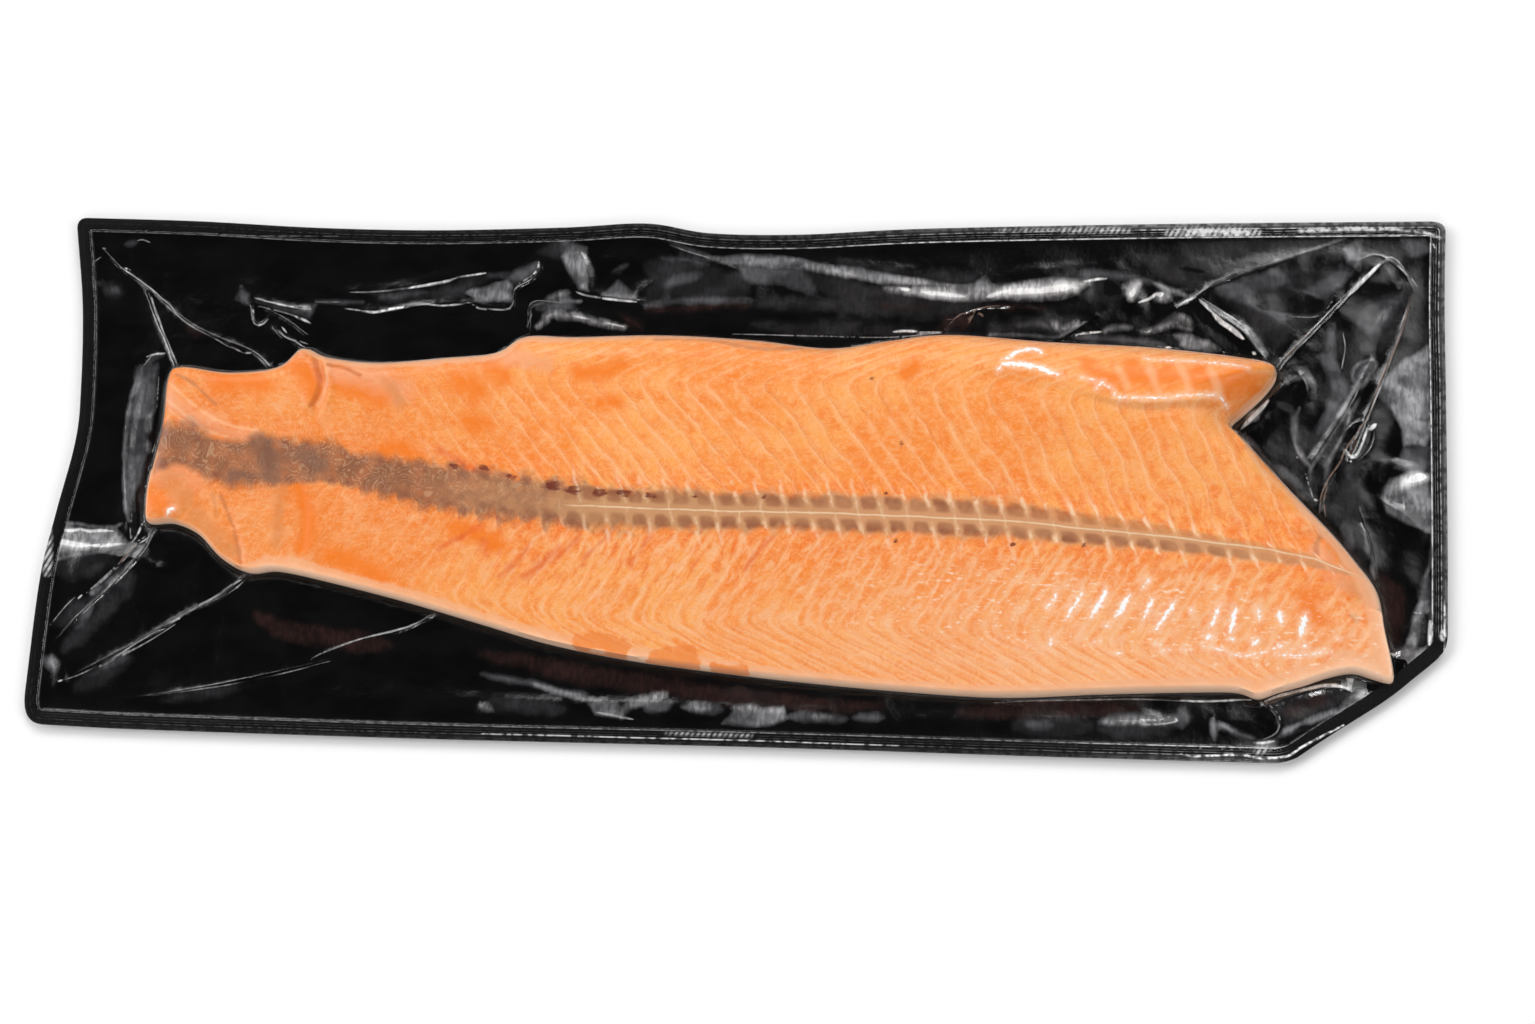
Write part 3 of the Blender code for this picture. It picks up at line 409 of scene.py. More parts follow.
        (118, 88), (108, 87), (101, 89), (92, 89), (79, 90), (66, 90), (56, 92), (47, 94)]),
        (1.1, [(185, 91), (189, 89), (195, 87), (199, 85)]), (1.2, [(194, 67), (198, 67), (205, 65)]),
        (0.3, [(114, 67), (129, 67), (142, 66), (147, 68), (151, 71), (156, 73)]), (0, [(-80, 102),
        (-76, 108), (-69, 106), (-67, 86), (-71, 87), (-76, 94)]), (0, [(-14, 102), (-6, 102), (3, 103),
        (15, 103), (24, 102), (32, 100), (41, 98), (55, 95), (56, 92), (41, 95), (28, 97), (18, 97),
        (10, 98), (1, 99), (-7, 99)]), (0, [(-123, 85), (-119, 87), (-113, 88), (-104, 91), (-102, 87),
        (-102, 81), (-109, 81), (-117, 81)]), (0.25, [(-92, 79), (-84, 81), (-70, 81)]),
        (0.5, [(-274, 42), (-276, 31), (-276, 9), (-274, -12), (-271, -24)]), (0.7, [(-272, 48),
        (-274, 36)]), (0.3, [(-303, -26), (-295, -26), (-287, -27), (-278, -27), (-275, -26)]),
        (0.9, [(-305, -43), (-279, -37), (-273, -36)]), (0.8, [(-285, -58), (-281, -55)]),
        (0.7, [(-79, -94), (-55, -100), (-43, -102)]), (0, [(-55, -101), (-41, -102), (-39, -108),
        (-51, -106)]), (0, [(5, -109), (10, -104), (16, -101), (22, -102), (31, -101), (33, -106),
        (25, -109), (16, -110)]), (0, [(241, -108), (243, -105), (250, -102), (258, -98), (265, -96),
        (268, -93), (275, -87), (280, -88), (281, -92), (271, -97), (260, -99), (254, -102), (249, -103),
        (244, -107)]), (0, [(275, -87), (278, -86), (281, -92), (272, -96), (267, -93)]),
        (0.9, [(213, -102), (214, -110)]), (0.6, [(216, -103), (223, -107), (230, -109)])],
    "black": [
        (0, [(227, 82), (244, 85), (248, 88), (258, 83), (258, 79), (254, 77), (247, 77), (241, 78),
        (232, 79)]), (0.5, [(205, 86), (213, 90), (228, 96), (248, 103), (268, 111)]), (0.8, [(241, 52),
        (277, 93)]), (0, [(281, 97), (283, 99), (285, 94), (285, 93), (282, 95)]), (0, [(263, 74),
        (269, 79), (271, 76), (269, 70), (263, 70)]), (0, [(263, 72), (267, 70), (269, 65), (268, 52),
        (270, 46), (266, 50), (264, 57)]), (1.6, [(290, 70), (286, 59), (281, 50), (272, 31)]),
        (0.7, [(296, 87), (295, 79), (292, 69), (288, 58)]), (0, [(279, 37), (284, 38), (287, 35),
        (288, 30), (275, 30)]), (0, [(299, 102), (303, 106), (304, 100), (301, 100)]), (1, [(196, 98),
        (207, 96)]), (0, [(226, 24), (239, 34), (244, 33), (244, 26), (245, 21), (248, 13), (251, 7),
        (252, 0), (249, 2), (241, 10), (235, 12), (228, 21)]), (0, [(251, 38), (260, 38), (259, 35),
        (255, 28), (252, 24), (247, 23), (249, 30), (251, 35)]), (0.9, [(270, 30), (268, 24), (264, 14),
        (261, 9)]), (1.2, [(256, 10), (254, 4), (254, -2), (256, -5)]), (0, [(283, 35), (288, 33),
        (291, 26), (291, 18), (290, 14), (287, 8), (283, 1), (283, -3), (284, -10), (293, -16),
        (300, -18), (302, -23), (302, -31), (280, -32), (277, -21), (274, -11), (273, 0), (275, 11),
        (275, 20), (280, 26), (283, 31)]), (0.3, [(297, 31), (300, 30), (303, 31)]), (0, [(299, -55),
        (302, -55), (302, -68), (299, -68)]), (1.2, [(290, -81), (302, -71)]), (0.35, [(66, 89), (92, 89),
        (101, 88), (106, 87)]), (0, [(163, 91), (165, 93), (170, 89), (170, 86), (166, 85), (163, 86)]),
        (0.6, [(194, 79), (190, 76), (186, 72), (181, 69)]), (1.2, [(147, 65), (155, 71), (163, 76),
        (172, 80)]), (0, [(-69, 104), (-59, 104), (-52, 100), (-57, 94), (-64, 88), (-67, 85)]),
        (1, [(-262, 48), (-261, 35), (-263, 22), (-263, 9), (-264, -4), (-264, -16)]), (0, [(-304, -32),
        (-302, -31), (-296, -30), (-293, -31), (-291, -33), (-296, -33), (-302, -33)]),
        (0.5, [(-303, -41), (-298, -40), (-282, -38), (-274, -36)]), (1.4, [(-26, -105), (-12, -107),
        (3, -107)]), (1.2, [(216, -106), (221, -108)]), (1.2, [(210, -106), (211, -111)]),
        (0, [(228, -100), (235, -100), (240, -103), (238, -107), (232, -107), (228, -105)]),
        (0, [(242, -110), (250, -105), (257, -102), (254, -107), (247, -111), (243, -112)])],
    "pool": [
        (1.2, [(197, 76), (201, 72)]), (1.2, [(281, 75), (286, 80)]), (2.4, [(289, 45), (294, 42),
        (298, 35)]), (2.2, [(295, 35), (297, 27)]), (2.6, [(286, -2), (291, 1), (297, 3)]),
        (0.9, [(296, -63), (295, -65)]), (0.8, [(289, -71), (296, -69)]), (1, [(292, -76), (296, -73)]),
        (0.9, [(69, 92), (85, 90)]), (1.3, [(67, 88), (104, 84), (110, 84)]), (1.8, [(118, 85), (131, 85),
        (151, 87)]), (2.6, [(173, 86), (175, 89), (178, 91)]), (2, [(186, 84), (189, 85), (192, 84)]),
        (2.8, [(84, 88), (104, 86), (122, 87), (156, 91)]), (0.6, [(164, 69), (169, 71), (175, 71)]),
        (0.6, [(180, 69), (186, 70), (195, 73)]), (0.5, [(197, 71), (201, 70)]), (0.7, [(141, 73),
        (143, 71), (144, 69)]), (0.6, [(146, 70), (149, 71), (152, 73)]), (1.2, [(-71, 100), (-69, 88)]),
        (1, [(-79, 73), (-74, 74), (-68, 73), (-61, 71), (-50, 69)]), (0.9, [(32, 98), (56, 93)]),
        (1, [(-89, 69), (-86, 72), (-84, 75), (-70, 73)]), (0.9, [(-86, 82), (-77, 85)]),
        (0.5, [(-200, 77), (-196, 77)]), (0.8, [(-266, 25), (-266, 18)]), (0.6, [(-266, 13), (-265, 9)]),
        (0, [(-303, -28), (-293, -28), (-277, -28), (-272, -33), (-271, -35), (-274, -37), (-287, -38),
        (-303, -41), (-305, -33)]), (1, [(-300, -87), (-297, -92)]), (1.5, [(-39, -106), (-36, -102),
        (-21, -97)]), (1.2, [(-12, -102), (-1, -102)]), (0.9, [(10, -102), (20, -102)]),
        (0.7, [(25, -103), (31, -103)]), (0.7, [(45, -105), (51, -105)]), (1, [(-102, -104),
        (-97, -106)]), (1, [(169, -104), (179, -103), (189, -103), (197, -102)]), (1.4, [(231, -114),
        (235, -112), (238, -111)])],
    "copper": [
        (0.3, [(239.1, 53.3), (248.1, 64.6), (267, 86.2)]), (0.35, [(295.1, 86.4), (291.1, 70),
        (286.4, 57.6), (282.4, 48.3), (277.1, 31.4)]), (0.35, [(280.1, 38.7), (276.6, 30.5),
        (267.9, 17.3), (264.9, 10.5), (260.3, 3.6), (257.4, -3.9), (256.9, -11.2)]), (0.3, [(260.3, 1.8),
        (258.7, -5.1), (259.3, -13)]), (0.3, [(95, 73.8), (98.1, 74.2), (101.2, 76.4), (106.1, 77.1),
        (107.4, 78.5), (111.4, 79.5), (118, 80.3)]), (0.25, [(107, 77.1), (104.4, 72.4)]),
        (0.25, [(107.4, 77.6), (110.6, 75.3)]), (0.3, [(-265.8, -34), (-272.8, -44.1)])],
    "light": [
        (0.2, [(244.4, 76.1), (253.9, 76), (259, 79.1), (262.6, 85.4)]), (0.28, [(205.1, 84.2),
        (220.8, 74.1), (226.8, 67.2), (229.8, 61.7), (233.5, 57.1)]), (0.22, [(241.3, 53.3),
        (249.7, 65.8), (265.7, 84.5)]), (0.25, [(281.6, 100.4), (284.5, 103.4), (288.2, 102.6),
        (291.1, 99.5), (297.6, 89.9)]), (0.22, [(266.2, 68.7), (267.1, 62.1), (265.7, 52.8)]),
        (0.2, [(294.4, 85.6), (290, 68.5), (286.8, 59.9)]), (0.25, [(271.1, 21.7), (269.7, 18),
        (270.2, 15.5)]), (0.3, [(274.3, 25.5), (269, 18)]), (0.25, [(291.9, -5.7), (291.9, -10.3)]),
        (0.16, [(302.6, 39), (302.5, 24)]), (0.3, [(250.8, 5.9), (253.9, -4.5)]), (0.25, [(82.1, 68),
        (93.4, 67.9)]), (0.16, [(47.9, 65.4), (70.5, 65.5), (92.9, 67.6)]), (0.25, [(148, 65.4),
        (151.4, 67.6), (154.9, 68.4)]), (0.4, [(-73.2, 85.6), (-68.2, 83.8), (-60.3, 82.5)]),
        (0.25, [(-34.9, 109.8), (-28.6, 106.6), (-12.7, 101.5)]), (0.16, [(-0.4, 66.3), (56.8, 65.4)]),
        (0.35, [(-178.7, 84.8), (-168.7, 84.6), (-148.9, 86.8), (-142.3, 88)]), (0.35, [(-179.7, 77.1),
        (-171.3, 75.9)]), (0.4, [(-121, 80.1), (-116.6, 77.3), (-108.4, 76.8), (-102.6, 77.4),
        (-100.9, 81.5)]), (0.4, [(-93.9, 92.5), (-99.4, 88.7), (-101.2, 85.7)]), (0.2, [(-92.1, 79),
        (-92.5, 74), (-94.2, 68.5)]), (0.3, [(-199.4, 72.7), (-194.5, 69.8)]), (0.18, [(-296.5, 104.8),
        (-287.8, 96.2)]), (0.28, [(-287.8, 95.7), (-281.4, 92.3), (-273.1, 86.3), (-266.5, 80.8)]),
        (0.28, [(-266.5, 80.8), (-263, 79.5), (-260.5, 76.1), (-255.3, 71), (-247.1, 66), (-240, 62.6)]),
        (0.32, [(-240, 62.6), (-232.9, 58.9), (-224.2, 55.3)]), (0.26, [(-272.8, 83.7), (-266.3, 70.9),
        (-260.7, 57.3), (-256.8, 52.3)]), (0.28, [(-300.1, 98.3), (-297.7, 100.4)]),
        (0.2, [(-297.4, 105.2), (-295.2, 104.8)]), (0.25, [(-280.6, 108.8), (-278, 109.2),
        (-274.5, 107.9)]), (0.35, [(-201, 76.8), (-195.1, 76.6)]), (0.28, [(-219.6, 77.7), (-209.2, 75.2),
        (-202.3, 73.1), (-194.5, 69.8)]), (0.22, [(-222.4, 76.8), (-221.3, 69.6), (-218.7, 68.3),
        (-214.8, 71.8)]), (0.3, [(-209.8, 68), (-207.4, 64.6), (-203.8, 62.1), (-199.5, 61.3),
        (-195.2, 60)]), (0.2, [(-192.9, 80), (-187, 79.7), (-181.3, 80.1)]), (0.18, [(-257.2, 22.2),
        (-260.4, 16.8), (-262.9, 9.2), (-264.1, 0.6), (-263.8, -25)]), (0.3, [(-271.8, 48.5),
        (-267.4, 54.1), (-261.9, 54.8)]), (0.22, [(-263.9, 46.1), (-263.1, 28.9)]),
        (0.35, [(-265.9, -30.2), (-268.2, -34)]), (0.22, [(-262.3, -31.2), (-266.3, -34)]),
        (0.22, [(-265.2, -34.5), (-269.4, -40.9), (-272.2, -44.1)]), (0.25, [(-272.8, -44.1),
        (-286.9, -57.6)]), (0.18, [(-272.4, -45.2), (-280.4, -52.7), (-285.2, -58.1)]),
        (0.2, [(-292, -59.8), (-296.3, -64.7), (-301.9, -72.7)]), (0.42, [(-215.3, -50.3),
        (-218.7, -51.6), (-223.7, -55.7), (-231.2, -61), (-238.7, -65.2), (-249.3, -72)]),
        (0.16, [(-269.6, -20.7), (-269.7, -27.1), (-268.9, -33)]), (0.32, [(-250.3, -73.4), (-261, -79.9),
        (-274, -88.9), (-286.1, -94.8), (-294.6, -98.3)]), (0.22, [(-244.2, -71.1), (-256, -79.2),
        (-278.7, -92.7)]), (0.3, [(-131.9, -67.7), (-144, -71.6), (-158.5, -75.6), (-176.5, -82.8),
        (-180.6, -85.6)]), (0.2, [(-171.3, -85.8), (-191.9, -91.8), (-210.2, -96.5), (-250.9, -103.7)]),
        (0.2, [(-286.9, -64.6), (-293.7, -72), (-300.4, -80.8)]), (0.5, [(-50.9, -105.6),
        (-34.2, -108.3)]), (0.25, [(121.3, -96.8), (135.6, -95.5), (160.5, -94.4), (183.3, -93.6),
        (199.5, -94)]), (0.28, [(234.6, -93.4), (238.9, -97), (241.1, -100.6), (240.8, -104.3),
        (239, -107.2), (234.1, -109.6)]), (0.35, [(277.1, -85.7), (280, -87.5), (281.4, -90.4),
        (283.8, -92.5), (284.2, -89.2)])],
    "flare": [
        (1.1, [(230, 33), (227, 30)]), (1.8, [(291, 1), (295, 4), (301, 5)]), (1.2, [(80, 87),
        (102, 84)]), (1.7, [(115, 85), (122, 87), (131, 87), (149, 89), (154, 90)]), (1.3, [(178, 91),
        (176, 88), (175, 84)]), (1, [(-302, -35), (-296, -36), (-288, -36)])],
    "glint": [
        (0.5, [(204.4, 83.4), (210.4, 77.2)]), (1, [(210.4, 77.2), (214.2, 73.3), (218.7, 70.2),
        (223.9, 65.6)]), (0.7, [(227.8, 59.8), (229, 58.8)]), (0.75, [(268.1, 85.3), (281.6, 100)]),
        (0.9, [(234.8, 38.5), (231.9, 34.7), (223.4, 25.5)]), (0.55, [(276.6, 26.8), (275.5, 22.4),
        (273.7, 17.4), (272, 14.2), (270.2, 13), (268.5, 14.3), (267.6, 16.7)]), (0.85, [(280.2, 28.2),
        (277.5, 25.4)]), (0.3, [(273.9, -15.2), (275.9, -19.2)]), (1.7, [(294, 2.9), (297.2, 4.7),
        (301, 5.4)]), (0.45, [(254.5, -5.4), (256.1, -6)]), (0.3, [(247, 13.2), (247.6, 13)]),
        (0.4, [(220.1, 25.1), (221.3, 24.2)]), (0.3, [(296.2, -54), (299.1, -54)]),
        (0.75, [(302.8, -56.5), (302.5, -68)]), (0.9, [(304.4, -65.9), (305.4, -67.5)]),
        (0.7, [(286.1, -71.9), (288.9, -71.8)]), (0.45, [(288.9, -78.5), (288.5, -81.1)]),
        (0.7, [(72.3, 87.7), (78.2, 87.3)]), (0.9, [(83.2, 86.4), (102.2, 84.3)]), (0.9, [(112.1, 84.1),
        (117.8, 86.1)]), (0.5, [(71.3, 67.9), (75.8, 68.4), (82.1, 68.2)]), (1.4, [(117.5, 86.2),
        (136.8, 87.4), (146.2, 88.7), (153.1, 90.6)]), (0.5, [(153.1, 91.1), (160.1, 92.7), (164.2, 93)]),
        (1.1, [(176.5, 88.3), (175, 84.6)]), (0.6, [(178.4, 81.9), (183, 84), (185.8, 85.9),
        (188.2, 86.4)]), (1, [(186.4, 85.6), (188.9, 85.8)]), (0.5, [(195.2, 80.1), (199.2, 82.6),
        (203.2, 84.5)]), (0.32, [(149.1, 66.1), (154.3, 67.8), (162.4, 68.7)]), (0.3, [(180.7, 68.7),
        (183.9, 69.2)]), (0.4, [(190.1, 61.9), (193, 61.8)]), (0.4, [(-60.3, 82.4), (-44.5, 80.7)]),
        (0.3, [(-73.7, 74.2), (-65.7, 72.6)]), (0.3, [(-57.8, 70.9), (-49.8, 69.4)]),
        (0.5, [(-150.5, 86.6), (-134.1, 89.6), (-127.7, 91.9)]), (0.3, [(-127.7, 91.9), (-114.6, 94.1)]),
        (0.5, [(-171.3, 75.7), (-164.5, 75.1), (-158, 76.7), (-149.8, 77.9)]), (0.28, [(-149.8, 78.2),
        (-141.6, 79.1), (-134.9, 78.5), (-129.1, 78.8), (-121, 80.1)]), (0.3, [(-90.7, 99.5),
        (-90.8, 95.9), (-93.9, 92.5)]), (0.25, [(-285.6, 95.7), (-282.5, 94.5)]), (0.28, [(-224.2, 55.3),
        (-221, 55.5)]), (0.22, [(-271.3, 82), (-270.1, 78.6)]), (0.28, [(-222, 81.3), (-210.4, 78.6),
        (-201, 77)]), (0.4, [(-202.3, 73), (-194.5, 69.8)]), (0.28, [(-222.4, 76), (-221.9, 74.3)]),
        (0.22, [(-220, 68.6), (-217.1, 69.2), (-214.8, 71.8)]), (0.25, [(-207.9, 67.8), (-205.6, 65.3)]),
        (0.35, [(-270.4, 53.2), (-267.1, 54.3), (-261.9, 54.8)]), (0.7, [(-302.5, -29.3), (-296.5, -29.2),
        (-292.8, -28.6), (-288.4, -29.3), (-283.1, -28.7), (-277.6, -28.9)]), (1.2, [(-303.6, -34.1),
        (-293.1, -35.7), (-287.7, -35.9)]), (0.8, [(-287.7, -35.9), (-282.3, -35.8), (-271.6, -34.8)]),
        (0.32, [(-264.5, -25.4), (-264.9, -27.6), (-265.9, -30.2)]), (0.28, [(-261.2, -31.9),
        (-264.7, -34.6)]), (0.35, [(-290.3, -60.3), (-288.9, -58.7)]), (0.3, [(-215.7, -50.4),
        (-219.2, -52.4)]), (0.28, [(-295.2, -98.3), (-293.4, -97.8)]), (0.25, [(174.1, -103.4),
        (178.8, -102.7), (190.2, -102.5), (194.9, -101.2), (198.7, -102.5), (193, -104), (181.7, -104.9),
        (178.8, -103.6)]), (0.32, [(199.5, -93.8), (211, -93.8), (229.2, -92.5)]), (0.75, [(234.9, -93.1),
        (241, -90.5), (256.6, -86.4), (263.7, -85.7), (267.9, -86.6), (270.8, -88.2)]),
        (0, [(268.5, -82.3), (271.6, -82.5), (270.9, -84.6), (270.3, -88.5), (269.6, -87.4)]),
        (0.5, [(230.5, -111.1), (234.1, -111), (238.7, -110.1)]), (0.35, [(224.8, -111.8),
        (225.1, -112)])],
}


def spline(points, step, closed=False):
    """Points about one step apart on a smooth curve through the given ones."""
    knots = [Vector(p) for p in points]
    count = len(knots)
    made = []
    for i in range(count if closed else count - 1):
        if closed:
            before, start, end, after = (knots[(i + k) % count] for k in (-1, 0, 1, 2))
        else:
            start, end = knots[i], knots[i + 1]
            before = knots[i - 1] if i else start * 2 - end
            after = knots[i + 2] if i + 2 < count else end * 2 - start
        pieces = max(1, round((end - start).length / step))
        for k in range(pieces):
            t = k / pieces
            made.append(0.5 * (2 * start + (end - before) * t
                               + (2 * before - 5 * start + 4 * end - after) * t * t
                               + (3 * start - before - 3 * end + after) * t ** 3))
    if not closed:
        made.append(knots[-1])
    return np.array([tuple(p) for p in made])


def closed_line(loop):
    """A loop with its first point again at its end."""
    return np.vstack([loop, loop[:1]])


def even_loop(loop, step):
    """A loop sampled again at even distances."""
    line = closed_line(loop)
    along = np.concatenate([[0.0], np.cumsum(np.hypot(*np.diff(line, axis=0).T))])
    wanted = np.linspace(0.0, along[-1], round(along[-1] / step) + 1)[:-1]
    return np.stack([np.interp(wanted, along, line[:, k]) for k in (0, 1)], 1)


def pack_edge():
    """The pack's outline, with a rounded corner between each run and the next."""
    loop = []
    for i, run in enumerate(EDGE_RUNS):
        loop += [tuple(p) for p in spline(run, EDGE_STEP)]
        start, corner = Vector(run[-1]), Vector(EDGE_CORNERS[i])
        end = Vector(EDGE_RUNS[(i + 1) % len(EDGE_RUNS)][0])
        for t in np.linspace(0, 1, 8)[1:-1]:
            loop.append(tuple(start * (1 - t) ** 2 + corner * 2 * t * (1 - t) + end * t * t))
    return even_loop(np.array(loop), EDGE_STEP)


def offset_loop(loop, distance):
    """The loop moved inwards by a distance, or outwards where it is negative."""
    tangent = np.roll(loop, -1, 0) - np.roll(loop, 1, 0)
    inward = np.stack([-tangent[:, 1], tangent[:, 0]], 1)
    return loop + inward / np.hypot(*inward.T)[:, None] * distance


def distance_to(line, x, y, reach=1e9):
    """Each place's distance to a line, how far along its nearest point is (0 to 1), and its side.

    Places further off than reach keep that distance. The side is 1 to the left and -1 to the right."""
    best = np.full(x.shape, float(reach))
    place, side = np.zeros(x.shape), np.ones(x.shape)
    near = np.flatnonzero((x > line[:, 0].min() - reach) & (x < line[:, 0].max() + reach)
                          & (y > line[:, 1].min() - reach) & (y < line[:, 1].max() + reach))
    lengths = np.hypot(*np.diff(line, axis=0).T)
    along = np.concatenate([[0.0], np.cumsum(lengths)])
    nx, ny = x[near], y[near]
    close, where, hand = best[near], place[near], side[near]
    for i, length in enumerate(lengths):
        if length < 1e-9:
            continue
        (ax, ay), (bx, by) = line[i], line[i + 1]
        t = np.clip(((nx - ax) * (bx - ax) + (ny - ay) * (by - ay)) / length ** 2, 0.0, 1.0)
        d = np.hypot(nx - ax - t * (bx - ax), ny - ay - t * (by - ay))
        nearer = d < close
        where = np.where(nearer, (along[i] + t * length) / along[-1], where)
        hand = np.where(nearer, np.sign((bx - ax) * (ny - ay) - (by - ay) * (nx - ax)), hand)
        close = np.minimum(close, d)
    best[near], place[near], side[near] = close, where, hand
    return best, place, side


def inside(loop, x, y):
    """True for each place that the closed loop holds."""
    held = np.zeros(x.shape, bool)
    for (ax, ay), (bx, by) in zip(loop, np.roll(loop, 1, 0)):
        if ay != by:
            crosses = (ay > y) != (by > y)
            held ^= crosses & (x < (bx - ax) * (y - ay) / (by - ay) + ax)
    return held


def smooth(t):
    """0 to 1 with level ends."""
    t = np.clip(t, 0.0, 1.0)
    return t * t * (3 - 2 * t)


def hex_grid(pitch, low, high):
    """A triangular grid of places between two corners."""
    rows = np.arange(low[1], high[1], pitch * math.sqrt(3) / 2)
    columns = np.arange(low[0], high[0], pitch)
    return np.array([(x + pitch / 2 * (i % 2), y) for i, y in enumerate(rows) for x in columns])


def thinned(groups):
    """Joins groups of places, first come first kept, dropping each that stands too near a kept one."""
    cells, kept = {}, []
    for places, least in groups:
        for x, y in places:
            i, j = int(x // 1.0), int(y // 1.0)
            span = int(least) + 1
            near = (p for a in range(i - span, i + span + 1) for b in range(j - span, j + span + 1)
                    for p in cells.get((a, b), ()))
            if all((p[0] - x) ** 2 + (p[1] - y) ** 2 > least * least for p in near):
                cells.setdefault((i, j), []).append((x, y))
                kept.append((x, y))
    return np.array(kept)


def triangles(places, loop):
    """Delaunay triangles of the places that lie within a loop, with the places that they use."""
    made, _, faces, _, _, _ = delaunay_2d_cdt([Vector(p) for p in places], [], [], 0, 1e-5)
    made, faces = np.array([tuple(p) for p in made]), np.array(faces)
    centre = made[faces].mean(1)
    faces = faces[inside(loop, *centre.T)]
    used = np.unique(faces)
    number = np.full(len(made), -1)
    number[used] = np.arange(len(used))
    return made[used], number[faces]


def grain(x, y, size, seed, octaves=3):
    """Smooth unevenness between about -1 and 1, with lumps of the given size."""
    return np.array([noise.fractal((a / size, b / size, seed), 0.9, 2.1, octaves) for a, b in zip(x, y)])


def fold_shape(kind, share):
    """A fold's height where share is 1 on its crest and 0 at its foot."""
    dome = np.sqrt(1 - (1 - share) ** 2)
    return {"ridge": share, "pinch": share ** 2, "roll": smooth(share), "dome": dome}[kind]


def raised(folds, x, y):
    """The highest of some folds at each place."""
    high = np.zeros(x.shape)
    for kind, left, right, heights, path in folds.values():
        d, place, side = distance_to(spline(path, 2.0), x, y, max(left, right))
        d = np.hypot(d, 0.25) - 0.25
        reach = np.where(side > 0, left, right) * (0.5 if kind == "pinch" else 1.0)
        share = np.clip(1 - d / reach, 0.0, 1.0)
        peak = np.interp(place, np.linspace(0, 1, len(heights)), heights)
        high = np.maximum(high, peak * (0.28 if kind == "pinch" else 0.5) * fold_shape(kind, share))
    return high


def crumple(x, y):
    """Low random facets that meet in creases, strongest at the right end and the back."""
    strength = 0.2 + 0.3 * smooth((x - 150) / 90) + 0.25 * smooth((y - 60) / 30) * smooth((x + 130) / 60)
    high = []
    for a, b in zip(x, y):
        bent = 6 * noise.noise((a / 40, b / 40, 5.0))
        broad = abs(noise.noise(((a + bent) / 34, (b - bent) / 24, 2.0)))
        fine = abs(noise.noise((a / 13, (b + bent) / 11, 9.0)))
        high.append(1.5 * (1 - 1.6 * broad) + 0.35 * (1 - 2 * fine))
    return np.array(high) * strength


def sheet(name, places, faces, top, bottom):
    """A closed sheet between two heights over a plan of triangles."""
    count = len(places)
    flat = places * MM
    verts = np.vstack([np.column_stack([flat, top * MM]), np.column_stack([flat, bottom * MM])])
    rim = rim_of(faces)
    walls = np.vstack([np.column_stack([rim[:, 1], rim[:, 0], rim[:, 0] + count]),
                       np.column_stack([rim[:, 1], rim[:, 0] + count, rim[:, 1] + count])])
    return mesh_piece(name, verts, np.vstack([faces, faces[:, ::-1] + count, walls]))


def rim_of(faces):
    """The edges that only one triangle has."""
    pairs = np.vstack([faces[:, [0, 1]], faces[:, [1, 2]], faces[:, [2, 0]]])
    known = set(map(tuple, pairs.tolist()))
    return np.array([(a, b) for a, b in known if (b, a) not in known])


def mesh_piece(name, verts, faces, sharp=60.0):
    """An object of the given corners and triangles, shaded smooth but for its sharp edges."""
    data = bpy.data.meshes.new(name)
    data.vertices.add(len(verts))
    data.vertices.foreach_set("co", np.asarray(verts, np.float32).ravel())
    data.loops.add(len(faces) * 3)
    data.loops.foreach_set("vertex_index", np.asarray(faces, np.int32).ravel())
    data.polygons.add(len(faces))
    data.polygons.foreach_set("loop_start", np.arange(0, len(faces) * 3, 3, dtype=np.int32))
    data.update(calc_edges=True)
    data.validate()
    data.shade_smooth()
    data.set_sharp_from_angle(angle=math.radians(sharp))
    made = bpy.data.objects.new(name, data)
    bpy.context.scene.collection.objects.link(made)
    return made


def keep_values(piece, rest=0.0, **values):
    """Stores named values on a piece's first points; the points after them get the rest value."""
    for name, given in values.items():
        stored = np.full(len(piece.data.vertices), rest, np.float32)
        stored[:len(given)] = given
        piece.data.attributes.new(name, "FLOAT", "POINT").data.foreach_set("value", stored)


def alongside(path, offsets, step=0.9):
    """Places along a path, and along lines at the given distances to its side."""
    line = spline(path, step)
    tangent = np.gradient(line, axis=0)
    normal = np.stack([-tangent[:, 1], tangent[:, 0]], 1) / np.hypot(*tangent.T)[:, None]
    return [line + normal * offset for offset in offsets]


def banded(bands, x, y, taper=0.0):
    """How far each place lies within the nearest of some bands, in millimetres, and below 0 outside them.

    A band of no width is the outline of a facet."""
    within = np.full(x.shape, -BAND_REACH)
    for half, path in bands:
        if not half:
            loop = closed_line(np.array(path, float))
            d = distance_to(loop, x, y, BAND_REACH)[0]
            within = np.maximum(within, np.where(inside(loop[:-1], x, y), d, -d))
            continue
        d, place, _ = distance_to(spline(path, 2.0), x, y, half + BAND_REACH)
        ends = 1 - np.clip(5 * np.minimum(place, 1 - place), 0.0, 1.0)
        within = np.maximum(within, half * (1 - taper * ends) - d)
    return within


def attribute(tree, name):
    """The value that a piece's mesh carries under a name."""
    return node(tree, "ShaderNodeAttribute", attribute_name=name, attribute_type="GEOMETRY").outputs["Fac"]


def maths(tree, operation, *values):
    """The result of one operation on its values."""
    return node(tree, "ShaderNodeMath", dict(enumerate(values)), operation=operation).outputs[0]


def ramp(tree, value, low, high, start=0.0, end=1.0):
    """A value eased from start to end as it goes from low to high."""
    return node(tree, "ShaderNodeMapRange", {"Value": value, "From Min": low, "From Max": high,
                                             "To Min": start, "To Max": end},
                interpolation_type="SMOOTHSTEP").outputs[0]


